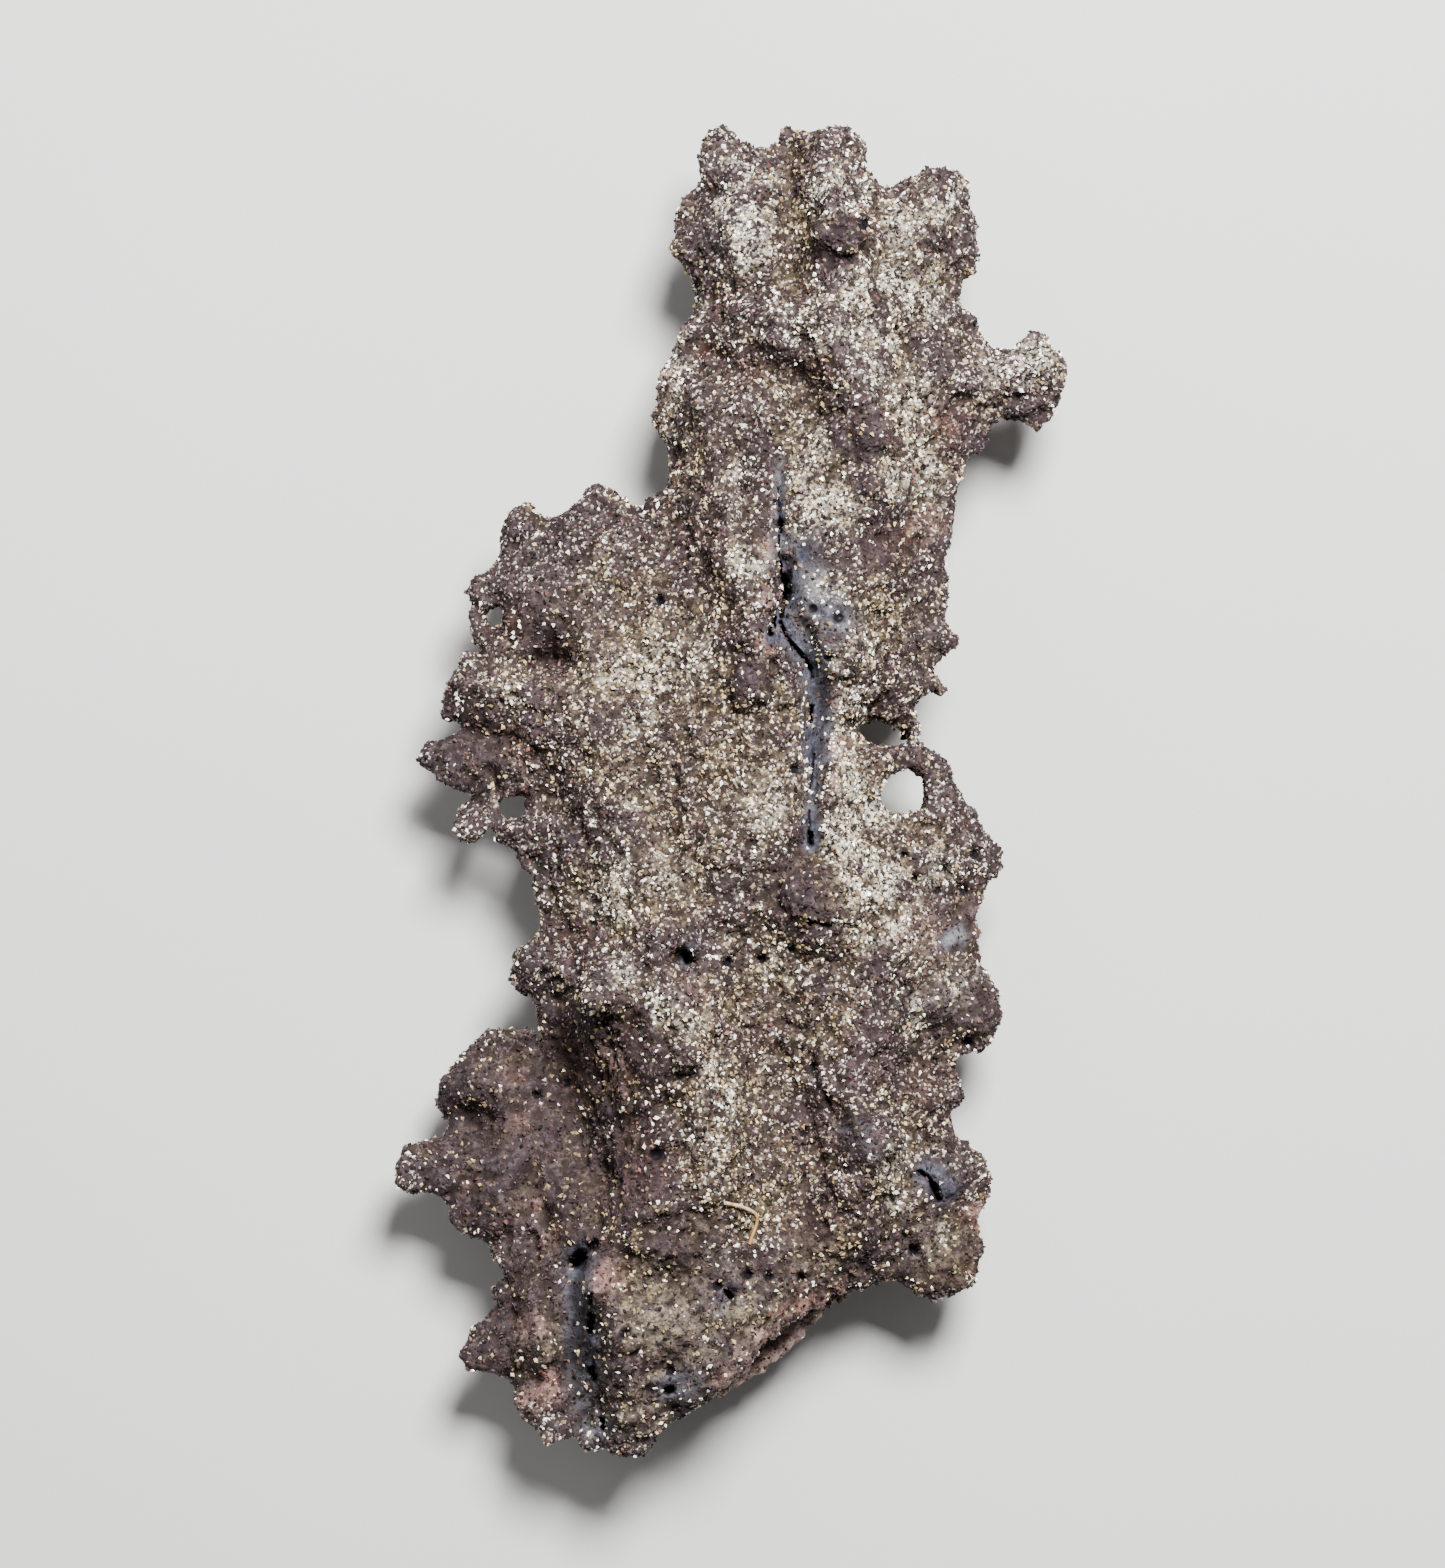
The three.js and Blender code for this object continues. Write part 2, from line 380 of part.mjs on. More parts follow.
function backHeight(x, y) {
  const full = fullness(x, y);
  const skin = smallSwellings(backSkin, x, y);
  const raised = longForms(backSwell, x, y) + longForms(backRidges, x, y);
  const sunk = longForms(backTroughs, x, y) + roundForms(backHollows, x, y);
  const thickness = between(edgeThickness, plateThickness, full) / 2;
  const skinHeight = middleHeight(x, y) - thickness - full * (raised - sunk + skin);
  return Math.max(0, Math.min(skinHeight, footHeight(x, y)));
}

const toSolid = (geometry) => {
  geometry.deleteAttribute('normal');
  geometry.deleteAttribute('uv');
  const merged = mergeVertices(geometry, smallestFace);
  const vertProperties = new Float32Array(merged.attributes.position.array);
  const triVerts = new Uint32Array(merged.index.array);
  return new wasm.Manifold(new wasm.Mesh({ numProp: 3, vertProperties, triVerts }));
};

function toGeometry(solid) {
  const { vertProperties, triVerts } = solid.getMesh();
  const geometry = new THREE.BufferGeometry();
  geometry.setAttribute('position', new THREE.BufferAttribute(vertProperties, 3));
  geometry.setIndex(new THREE.BufferAttribute(triVerts, 1));
  geometry.computeVertexNormals();
  return geometry;
}

const toShape = (points) => new THREE.Shape(points.map(([x, y]) => new THREE.Vector2(x, y)));

// An upright prism between two heights.
function prism(points, from, to, holesInIt = []) {
  const shape = toShape(points);
  shape.holes = holesInIt.map((hole) => toShape([...hole].reverse()));  // holes run the other way round
  const geometry = new THREE.ExtrudeGeometry(shape, { depth: to - from, bevelEnabled: false });
  geometry.translate(0, 0, from);
  return toSolid(geometry);
}

// A block whose top follows a height, on a triangular grid of points that stray a little.
function reliefBlock(height, facet, floor) {
  const rowStep = facet * Math.sin(Math.PI / 3);
  const columns = Math.ceil((2 * gridHalfWidth) / facet);
  const rows = Math.ceil((2 * gridHalfLength) / rowStep);
  const points = [];
  for (let row = 0; row <= rows; row += 1) {
    for (let column = 0; column <= columns; column += 1) {
      const shift = (row % 2) * facet * 0.5;
      const stray = facet * facetStray;
      const x = -gridHalfWidth + column * facet + shift + stray * (2 * scatter(row, column) - 1);
      const y = -gridHalfLength + row * rowStep + stray * (2 * scatter(column + otherDraw, row) - 1);
      points.push([x, y]);
    }
  }
  const positions = [
    ...points.flatMap(([x, y]) => [x, y, height(x, y)]),
    ...points.flatMap(([x, y]) => [x, y, floor]),
  ];
  const index = [];
  const below = points.length;
  const at = (row, column) => row * (columns + 1) + column;
  const addFacet = (a, b, c) => index.push(a, b, c, below + a, below + c, below + b);
  const addWall = (a, b) => index.push(a, below + a, b, b, below + a, below + b);
  for (let row = 0; row < rows; row += 1) {
    for (let column = 0; column < columns; column += 1) {
      const corners = [at(row, column), at(row, column + 1), at(row + 1, column + 1), at(row + 1, column)];
      const [a, b, c, d] = corners;
      if (row % 2 === 0) {
        addFacet(a, b, d);
        addFacet(b, c, d);
      } else {
        addFacet(a, b, c);
        addFacet(a, c, d);
      }
    }
  }
  for (let column = 0; column < columns; column += 1) {
    addWall(at(0, column), at(0, column + 1));
    addWall(at(rows, column + 1), at(rows, column));
  }
  for (let row = 0; row < rows; row += 1) {
    addWall(at(row, columns), at(row + 1, columns));
    addWall(at(row + 1, 0), at(row, 0));
  }
  const geometry = new THREE.BufferGeometry();
  geometry.setAttribute('position', new THREE.Float32BufferAttribute(positions, 3));
  geometry.setIndex(index);
  return toSolid(geometry);
}

// A knob set into the front so that its sides overhang.
function knob([x, y, halfX, halfY, halfZ]) {
  const rough = new THREE.IcosahedronGeometry(1, knobRounds);
  const corners = rough.attributes.position;
  const corner = new THREE.Vector3();
  for (let i = 0; i < corners.count; i += 1) {
    corner.fromBufferAttribute(corners, i);
    const aside = knobPattern * corner.x + x;
    const along = knobPattern * corner.y + knobPatternUp * corner.z + y;
    const reach = 1 + knobUnevenness * swelling(aside, along, knobSwelling);
    corner.multiplyScalar(reach);
    corners.setXYZ(i, corner.x * halfX, corner.y * halfY, corner.z * halfZ);
  }
  rough.translate(x, y, frontHeight(x, y) - knobSink * halfZ);
  return toSolid(rough);
}

// A cavity narrows downwards from a mouth that is open above.
function cavity([x, y, halfWidth, halfLength, turn, depth]) {
  const floor = frontHeight(x, y) - depth;
  const bore = new THREE.CylinderGeometry(mouthFlare, floorShare, depth + cavityClearance, cavitySides);
  bore.rotateX(Math.PI / 2);
  bore.scale(halfWidth, halfLength, 1);
  bore.rotateZ(-THREE.MathUtils.degToRad(turn));
  bore.translate(x, y, floor + (depth + cavityClearance) / 2);
  return toSolid(bore);
}

// The flat mouth under the broken front wall: the break line pushed back into the branch.
function mouth() {
  const lip = breakLine.slice(1, -1);
  const outer = lip.map(([x, y]) => [x + inward[0], y - inward[1]]);
  const inner = lip.map(([x, y]) => [x - mouthDepth * inward[0], y + mouthDepth * inward[1]]);
  return prism([...outer, ...inner.reverse()], rearWallTop - cutOverlap, rearWallTop + mouthHeight);
}

function fulguriteGeometry() {
  let solid = reliefBlock(frontHeight, frontFacet, frontFloor);
  solid = solid.intersect(prism(outline, outlineFloor, cutHeight, holes));
  solid = solid.subtract(reliefBlock(backHeight, backFacet, backFloor));
  knobs.forEach((form) => {
    solid = solid.add(knob(form));
  });
  solid = solid.subtract(prism(crack, crackFloor, cutHeight));
  cavities.forEach((form) => {
    solid = solid.subtract(cavity(form));
  });
  solid = solid.subtract(prism([...breakLine, ...beyondBreak], rearWallTop, cutHeight));
  solid = solid.subtract(mouth());
  return toGeometry(solid);
}

const fusedSand = new THREE.MeshStandardMaterial({ color: 0x746b6c, roughness: 0.75, metalness: 0 });
const fulgurite = new THREE.Mesh(fulguriteGeometry(), fusedSand);
fulgurite.name = 'fulgurite';

const group = new THREE.Group();
group.add(fulgurite);

export default group;
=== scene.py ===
import json
import math

import bpy
import numpy as np
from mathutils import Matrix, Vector

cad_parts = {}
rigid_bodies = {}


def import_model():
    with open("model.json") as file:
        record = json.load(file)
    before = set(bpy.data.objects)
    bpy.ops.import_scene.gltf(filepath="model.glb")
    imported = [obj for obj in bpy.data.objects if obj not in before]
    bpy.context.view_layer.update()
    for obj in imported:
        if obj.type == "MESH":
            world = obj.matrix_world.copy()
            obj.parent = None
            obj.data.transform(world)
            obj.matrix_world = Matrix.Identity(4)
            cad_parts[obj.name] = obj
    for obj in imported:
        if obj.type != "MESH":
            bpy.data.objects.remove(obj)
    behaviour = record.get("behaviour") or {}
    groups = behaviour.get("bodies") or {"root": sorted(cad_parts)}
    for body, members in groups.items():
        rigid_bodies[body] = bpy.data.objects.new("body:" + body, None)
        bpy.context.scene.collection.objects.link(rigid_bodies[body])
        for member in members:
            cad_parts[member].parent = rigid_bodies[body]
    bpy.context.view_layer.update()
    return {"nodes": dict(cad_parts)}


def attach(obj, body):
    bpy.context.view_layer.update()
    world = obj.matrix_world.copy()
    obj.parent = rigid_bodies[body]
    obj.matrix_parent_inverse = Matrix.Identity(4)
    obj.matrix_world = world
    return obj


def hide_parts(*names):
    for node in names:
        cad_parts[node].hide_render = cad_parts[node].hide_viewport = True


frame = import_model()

mm = 0.001

# The camera looks straight down: the mark in mm it is over, its height in metres, its lens and
# sensor in mm, and the height in mm at which its scale is true
overhead = {"aim": (-0.607, 0.479), "height": 0.36, "lens": 125.9, "sensor": 36, "sharpAt": 9.8}


def pick(piece):
    bpy.ops.object.select_all(action="DESELECT")
    piece.select_set(True)
    bpy.context.view_layer.objects.active = piece


def applied(piece, kind, **settings):
    pick(piece)
    modifier = piece.modifiers.new(kind.title(), kind)
    for name, value in settings.items():
        setattr(modifier, name, value)
    bpy.ops.object.modifier_apply(modifier=modifier.name)


# Runs an edit-mode operator on the whole mesh, or on the faces selected
def edited(piece, operator, everything=True, **settings):
    pick(piece)
    bpy.ops.object.mode_set(mode="EDIT")
    if everything:
        bpy.ops.mesh.select_all(action="SELECT")
    operator(**settings)
    bpy.ops.object.mode_set(mode="OBJECT")


def newPiece(name, mesh):
    piece = bpy.data.objects.new(name, mesh)
    bpy.context.scene.collection.objects.link(piece)
    return piece


def selectFaces(mesh, chosen):
    bpy.context.tool_settings.mesh_select_mode = (False, False, True)
    mesh.vertices.foreach_set("select", [False] * len(mesh.vertices))
    mesh.edges.foreach_set("select", [False] * len(mesh.edges))
    mesh.polygons.foreach_set("select", chosen)


def placesOf(mesh):
    co = np.empty(len(mesh.vertices) * 3, np.float32)
    mesh.vertices.foreach_get("co", co)
    return co.reshape(-1, 3).astype(float) / mm


def place(mesh, co):
    mesh.vertices.foreach_set("co", (co * mm).astype(np.float32).ravel())
    mesh.update()


def normalsOf(mesh):
    normals = np.empty(len(mesh.vertices) * 3, np.float32)
    mesh.vertex_normals.foreach_get("vector", normals)
    return normals.reshape(-1, 3).astype(float)


def cornersOf(mesh):
    corners = np.empty(len(mesh.loops), np.int32)
    mesh.loops.foreach_get("vertex_index", corners)
    return corners


def edgeEnds(mesh):
    edges = np.empty(len(mesh.edges) * 2, np.int32)
    mesh.edges.foreach_get("vertices", edges)
    return edges.reshape(-1, 2).T


def addLayer(mesh, name, values):
    mesh.attributes.new(name, "FLOAT", "POINT").data.foreach_set("value", values.astype(np.float32))


def dropLayers(mesh, names):
    for name in names:
        mesh.attributes.remove(mesh.attributes[name])


def bell(t):
    return np.where(t < 1, (1 - t * t) ** 2, 0)


# 1 where the skin faces up, falling to 0 on its sides; a start over 0 takes in more of them
def facingUp(mesh, steepness=3, start=0.0):
    return np.clip(normalsOf(mesh)[:, 2] * steepness + start, 0, 1)


# Where each point lines up with the marks below, which are placed as seen from overhead
def seenFromAbove(co):
    axis = np.array(overhead["aim"])
    far = overhead["height"] / mm
    spread = (far - overhead["sharpAt"]) / (far - co[:, 2])
    return (co[:, :2] - axis) * spread[:, None] + axis


def distanceTo(seen, line):
    best = np.full(len(seen), np.inf)
    for a, b in zip(line[:-1], line[1:]):
        start, run = np.array(a, float), np.array(b, float) - a
        along = np.clip((seen - start) @ run / (run @ run), 0, 1)
        best = np.minimum(best, np.linalg.norm(seen - start - along[:, None] * run, axis=1))
    return best


def distanceFrom(seen, x, y):
    return np.hypot(seen[:, 0] - x, seen[:, 1] - y)


# How far past its width a mark fades out
fading = {"patch": 1.25, "line": 1.4, "form": 1.5, "slot": 1.35, "pit": 1.5, "slotShade": 1.3, "pitShade": 1.1}


def patchAt(seen, patches):
    strength = np.zeros(len(seen))
    for x, y, radius, amount in patches:
        near = bell(distanceFrom(seen, x, y) / (radius * fading["patch"]))
        strength = np.maximum(strength, near * amount)
    return strength


def linesAt(seen, lines):
    strength = np.zeros(len(seen))
    for line, halfWidth, amount in lines:
        near = bell(distanceTo(seen, line) / (halfWidth * fading["line"]))
        strength = np.maximum(strength, amount * near)
    return strength


def strokesAt(seen, strokes, spread):
    total = np.zeros(len(seen))
    for line, halfWidth, height in strokes:
        total += height * bell(distanceTo(seen, line) / (halfWidth * spread))
    return total


# The sum of the values over each point's neighbours
def around(a, b, values):
    return np.bincount(a, values[b], len(values)) + np.bincount(b, values[a], len(values))


def smoothed(mesh, values, rounds):
    a, b = edgeEnds(mesh)
    count = np.maximum(around(a, b, np.ones(len(values))), 1)
    values = values.copy()
    for _ in range(rounds):
        for column in range(values.shape[1]):
            v = values[:, column]
            values[:, column] = 0.5 * v + 0.5 * around(a, b, v) / count
    return values


# Random clusters from -1 to 1, as wide as the rounds of smoothing make them
def clusters(mesh, rounds, seed):
    raw = np.random.default_rng(seed).normal(size=(len(mesh.vertices), 1))
    soft = smoothed(mesh, raw, rounds)[:, 0]
    return np.clip(soft / soft.std() / 2, -1, 1)


# How deep each point lies below its smoothed surroundings, in mm
def hollowness(mesh, co, rounds):
    inward = smoothed(mesh, co, rounds) - co
    return np.einsum("ij,ij->i", inward, normalsOf(mesh))


# A skin stretched over the hollows of the chosen region
def closedOver(mesh, heights, region):
    a, b = edgeEnds(mesh)
    inside = region[a] | region[b]
    a, b = a[inside], b[inside]
    count = np.maximum(around(a, b, np.ones(len(heights))), 1)
    for _ in range(bodyForm["closing"]):
        heights = np.where(region, np.maximum(heights, around(a, b, heights) / count), heights)
    return heights


# The fused body: how finely its skin is remade, and the uneven swellings laid over it, in mm
bodyForm = {
    "mergeWithin": 0.002,        # corners this near each other become one
    "voxel": 0.327,
    "smoothing": 5,
    "skinWaves": [("CLOUDS", 2.4, 1.2), ("VORONOI", 1.2, 0.5), ("CLOUDS", 0.7, 0.85)],
    "glassGain": 1.5,            # how soon a place counts as bare glass
    "calmOnGlass": 0.7,          # the share of the swellings that it loses
    "calmWhereDull": 0.25,
    "frontAbove": 7,             # inner walls over this height belong to the front
    "closing": 160,              # rounds of closing over the mouths
    "restsBelow": 0.12,          # the worn feet are flat under this height
    "restsAt": 0.02,
    "finerWithin": (0.4, 0.12),  # faces this near a narrow opening are split, once for each
    "pitCore": 0.6,              # the share of a pit's radius they start from
}

# Ridges and troughs of the front: their line in mm, half-width, height (a trough's is negative)
fineForms = [
    ([(-0.8, 42), (0.2, 37), (0.5, 31)], 0.9, 0.5), ([(4, 41), (3.8, 36), (3.6, 31)], 0.8, -0.6),
    ([(6, 42), (6.5, 37)], 0.9, 0.5), ([(5.2, 33.9), (8, 33.6)], 0.9, 1.1),
    ([(5.5, 34.9), (7.6, 34.5)], 0.9, 0.8), ([(5.2, 32.6), (8, 32.4)], 1.1, 0.7),
    ([(2.8, 28.8), (4.9, 27.7)], 0.9, 0.6), ([(14, 39.5), (12, 33)], 0.9, 0.5),
    ([(13, 31.2), (14.5, 30.5)], 0.7, 0.5), ([(1, 30), (3.6, 30.6), (7, 29.6)], 1.1, 0.5),
    ([(0, 31.4), (2.4, 32), (5.4, 31.6)], 0.7, -0.5), ([(6, 28), (8.2, 26), (8.9, 22), (9, 18)], 0.9, 0.6),
    ([(4.4, 28), (4.6, 25), (3.6, 22)], 0.8, -0.3), ([(3.6, 27.4), (5.4, 26.6)], 0.8, 0.4),
    ([(-3.6, 26.6), (-2.4, 25)], 1.1, 0.5), ([(-2.8, 28.6), (-0.6, 28)], 0.5, -0.7),
    ([(17.5, 26.8), (20, 27)], 0.8, 0.5), ([(-2, 24), (-0.4, 18), (1.5, 10)], 1, 0.5),
    ([(-2.6, 17.4), (-2, 14)], 0.8, -0.6), ([(-16.9, 7.4), (-14.5, 6.6), (-12.8, 5.4), (-12.3, 4.4)], 1.2, 0.6),
    ([(-16, 5), (-13, 4.6)], 1, 0.8), ([(-15.4, 3.2), (-12.6, 3.4)], 0.7, -0.7),
    ([(-12.6, 11.8), (-12, 11)], 1.9, 1.1), ([(-14.5, 13.4), (-14.2, 12.8)], 0.6, 0.6),
    ([(-12.6, 3.2), (-14.5, 1.3)], 0.6, 0.5), ([(-7.6, -15.4), (-7, -20), (-6.2, -26)], 0.8, -0.35),
    ([(-5.6, -14.6), (-5, -20), (-4.2, -26)], 0.9, 0.6), ([(-14, -17), (-13.9, -22.4)], 0.6, -0.5),
    ([(-16.6, -18.2), (-15.4, -18.9)], 1.8, 0.7), ([(-12.2, -18.6), (-12, -20.8)], 1.5, 0.6),
    ([(-17.4, -22.8), (-16, -23.4)], 1.3, 0.6), ([(-16.2, -26.4), (-15.2, -27)], 1.3, 0.7),
    ([(-13, -24.6), (-11.4, -28.6)], 0.6, -0.5), ([(-10.2, -28.2), (-9.9, -28.6)], 1.2, 0.7),
    ([(-7.8, -24.2), (-7.5, -24.8)], 0.8, -0.7),
    ([(-10, -31), (-9.8, -34), (-10.2, -37.5), (-9.3, -40.3)], 0.9, -0.25),
    ([(-13, -32), (-12, -35), (-11.5, -38)], 0.7, 0.6), ([(-8.2, -30.4), (-8.4, -31.8)], 0.9, 0.8),
    ([(-7.6, -33), (-7.4, -38)], 0.7, 0.4),
    ([(7, -32.4), (4.6, -33), (3, -34), (1.2, -35.6), (-0.2, -37.4)], 0.6, 0.4),
    ([(2.6, 15.4), (2.3, 12)], 0.5, 0.4), ([(4.7, 12.2), (5.8, 9.4), (6.5, 7), (6.6, 0.6)], 0.6, 0.5),
    ([(6.6, 0.6), (6.7, -3), (7.8, -8)], 0.8, 0.6), ([(3.6, 8.6), (4.1, 4), (4.2, 0)], 0.6, 0.4),
    ([(5.2, 7.8), (5.6, 5.6), (5.3, 2.6)], 0.75, -0.5), ([(5.3, 2.4), (5.2, -0.6)], 0.45, -0.6),
    ([(5.1, -1), (5, -3.4)], 0.7, -0.7), ([(3.1, 21), (3.1, 16)], 0.45, -0.6),
    ([(0.2, 8.4), (0.4, 6), (1.2, 4.8)], 0.45, -0.15), ([(2.6, 8.2), (2.5, 5.6)], 0.4, -0.35),
    ([(4, -8.9), (6.8, -9)], 1.6, 0.9), ([(2.8, -7.8), (5.2, -8.6)], 0.8, 0.6),
    ([(5.2, -9.4), (6.6, -9.4)], 0.9, 0.5), ([(8.8, -20.6), (8.8, -23.2)], 1, 0.6),
    ([(6.6, -20), (6.6, -24)], 0.7, -0.6), ([(11, -17), (13.6, -18.4)], 0.8, -0.7),
    ([(12, -13.4), (13.4, -14.2)], 1, 0.3), ([(-4.4, -16.6), (-4.2, -19)], 1, 0.8),
    ([(-10, -25.2), (-10.4, -26.6)], 1, 0.6), ([(-12.6, 7.9), (-10.9, 8.5)], 0.9, -1),
    ([(9, -24.2), (11, -23.6)], 0.8, 0.4), ([(-9.2, -31.4), (-9.1, -35), (-9.1, -39)], 0.7, 0.5),
    ([(-8.8, -14.6), (-8.2, -19.6)], 1.7, 1.5), ([(-9.6, -13.2), (-8.6, -16.6)], 1.5, 0.9),
    ([(-16.4, -18), (-17, -19.6)], 1, 0.6), ([(-16.3, -19.1), (-15.2, -19.5)], 0.8, 0.6),
]

# Mouths that the skin has closed round until only the slots below are left: x, y, radius in mm
closedMouths = [
    (3.3, 13.4, 2.4), (2.8, 10.6, 1.4), (4.4, 8.6, 1.8), (5.1, 6.9, 1.6), (5.2, 5, 1.8), (5.2, 1.6, 1.8),
    (5.1, -2.4, 1.8), (3.1, 16.6, 1.6), (-9.8, -29.8, 1.9), (-9, -34, 1.7), (-8.9, -37.1, 1.5),
    (-0.3, -32.3, 1.5), (-4, -38.2, 1.4), (5.4, -8.5, 2.7), (-9, -15.2, 2.8), (6.8, 34.6, 1.7),
    (-3.3, -17.8, 1.8), (1.3, 4.8, 1.3),
]

# Narrow dark openings: their line in mm, half-width and depth
slots = [
    ([(3.35, 13.6), (3.5, 12.9), (3.4, 12.3)], 0.27, 3.4),
    ([(3, 14.7), (3.35, 13.4), (3.3, 12.2), (3.15, 11.2)], 0.13, 2.6), ([(2.75, 11.1), (2.6, 10.6)], 0.1, 1.2),
    ([(2.6, 10.6), (2.45, 10.1)], 0.2, 2.4), ([(3.1, 10.8), (3.5, 9.9), (3.85, 9.4)], 0.12, 1.5),
    ([(3.85, 9.4), (4.5, 8.7), (5, 7.9)], 0.16, 1.7), ([(5, 7.9), (5.15, 7.2)], 0.08, 0.8),
    ([(5.05, 5.4), (5, 4.5)], 0.15, 1.8), ([(5.25, 2.4), (5, 0.2)], 0.08, 0.6),
    ([(4.95, -1.2), (4.9, -2.6)], 0.08, 0.5), ([(5, -2.7), (5, -3.3)], 0.17, 2),
    ([(3.1, 17.2), (3.1, 16.6)], 0.13, 1.2), ([(3, 16.4), (3, 14.9)], 0.07, 0.5),
    ([(2.95, 19.4), (3.05, 17.4)], 0.07, 0.5), ([(-3.05, -10.2), (-2.9, -10.9)], 0.18, 0.6),
    ([(-9.6, -29.7), (-10, -30.1)], 0.42, 2.6), ([(-8.95, -33.5), (-9, -34.5)], 0.24, 2.2),
    ([(-9, -32.2), (-9, -32.6)], 0.2, 1.6), ([(-8.9, -36.9), (-8.8, -37.5)], 0.22, 1.8),
    ([(-8.3, -40.1), (-8.2, -40.6)], 0.22, 1.2), ([(-0.35, -31.9), (-0.1, -32.3)], 0.2, 1.5),
    ([(12, -24.3), (12.4, -24.55), (12.75, -25)], 0.15, 1.4), ([(12.85, -25.2), (13.2, -26)], 0.25, 1.6),
    ([(-4.15, -38.3), (-3.9, -38.2)], 0.26, 1.6), ([(4.85, -8.2), (5, -8.4)], 0.18, 1),
]

# Small pits and bubbles in the front: x, y, radius, depth in mm
pits = [
    (3.1, 17.1, 0.35, 0.6), (5.2, 11.7, 0.4, 0.5), (6.8, 11.1, 0.45, 0.5), (6.2, 8.5, 0.35, 0.5),
    (4, 1.4, 0.35, 0.7), (-0.3, -10.9, 0.4, 0.9), (1.9, -10.7, 0.4, 0.9), (3.8, -10, 0.35, 0.7),
    (5.2, -17.6, 0.35, 0.7), (4.6, -21.7, 0.35, 0.7), (11.6, -29.3, 0.45, 0.8), (1, -30.9, 0.4, 0.8),
    (2.3, -31, 0.35, 0.7), (4.4, -31, 0.35, 0.7), (-0.9, -31.6, 0.35, 0.7), (-3.9, -37, 0.35, 0.7),
    (-6.9, -34.6, 0.4, 0.7), (11, -4, 0.35, 0.6), (15.5, -4, 0.35, 0.5), (11.7, -5.5, 0.35, 0.6),
    (13.1, -6.3, 0.35, 0.6), (14.8, -6.3, 0.35, 0.6), (15, -16, 0.4, 0.6), (-12.1, -11.6, 0.35, 0.5),
    (-8.8, -29, 0.4, 1.1), (8.4, 36.2, 0.6, 0.8), (-4.6, 12.2, 0.4, 0.6), (-4.8, -23.2, 0.55, 0.9),
    (-12.4, -19.4, 0.35, 0.5), (-10.6, -18.6, 0.35, 0.5),
]

# The through-holes: middle x, y, half-length, half-width and turn in degrees, in mm
holes = [
    (9.6, 3.8, 2, 0.72, -12), (11.35, 0, 1.2, 1.05, 0), (10.6, -0.2, 0.7, 0.55, 15),
    (-13.9, -1.1, 0.75, 0.6, 20), (-15.15, 11.05, 0.85, 0.72, 30),
]
# The cutter that opens them, and how far round each one its rim draws back, and how much, in mm
holeForm = {"sides": 9, "depth": 30, "height": 9, "reach": 1.2, "step": 0.25, "shortest": 0.05}

# The rear wall's lip beyond the break: its outer edge from right to left, its inner side, its top and
# bottom, and how far the bottom is set back, in mm
rearLip = {
    "outer": [(9.2, -31.2), (8, -32), (6.1, -33.5), (4.3, -35.7), (2.4, -37.5), (-0.3, -38.7), (-2.9, -39.5)],
    "inner": [(-2.6, -36.4), (1.5, -34), (6.8, -30.6)],
    "top": 6.5,
    "bottom": 4.9,
    "setBack": 0.49,
}


def remade(body):
    applied(body, "REMESH", mode="VOXEL", voxel_size=bodyForm["voxel"] * mm)


def cutHoles(body):
    for x, y, halfLength, halfWidth, turn in holes:
        bpy.ops.object.select_all(action="DESELECT")
        bpy.ops.mesh.primitive_cylinder_add(
            vertices=holeForm["sides"], radius=1, depth=holeForm["depth"] * mm,
            location=(x * mm, y * mm, holeForm["height"] * mm))
        cutter = bpy.context.object
        cutter.scale = (halfLength * mm, halfWidth * mm, 1)
        cutter.rotation_euler = (0, 0, math.radians(turn))
        applied(body, "BOOLEAN", object=cutter, operation="DIFFERENCE")
        bpy.data.objects.remove(cutter)


def addRearLip(body):
    outer, inner, back = rearLip["outer"], rearLip["inner"], rearLip["setBack"]
    top = [(x * mm, y * mm, rearLip["top"] * mm) for x, y in outer + inner]
    low = [((x - back) * mm, (y + back) * mm, rearLip["bottom"] * mm) for x, y in outer]
    low += [(x * mm, y * mm, rearLip["bottom"] * mm) for x, y in inner]
    count = len(top)
    faces = [tuple(range(count)), tuple(reversed(range(count, 2 * count)))]
    faces += [(i, i + count, (i + 1) % count + count, (i + 1) % count) for i in range(count)]
    mesh = bpy.data.meshes.new("rearLip")
    mesh.from_pydata(top + low, [], faces)
    lip = newPiece("rearLip", mesh)
    edited(lip, bpy.ops.mesh.normals_make_consistent, inside=False)
    applied(body, "BOOLEAN", object=lip, operation="UNION")
    bpy.data.objects.remove(lip)


def drawRims(co, seen):
    for x, y, halfLength, halfWidth, turn in holes:
        lengthwise = np.array((math.cos(math.radians(turn)), math.sin(math.radians(turn))))
        half = max(halfLength - halfWidth, holeForm["shortest"]) * lengthwise
        middle = np.array((x, y))
        along = np.clip((seen - middle) @ half / (half @ half), -1, 1)
        away = seen - middle - along[:, None] * half
        far = np.maximum(np.linalg.norm(away, axis=1), 1e-6)
        draw = holeForm["step"] * bell(np.maximum(far - halfWidth, 0) / holeForm["reach"])
        co[:, :2] += (draw / far)[:, None] * away


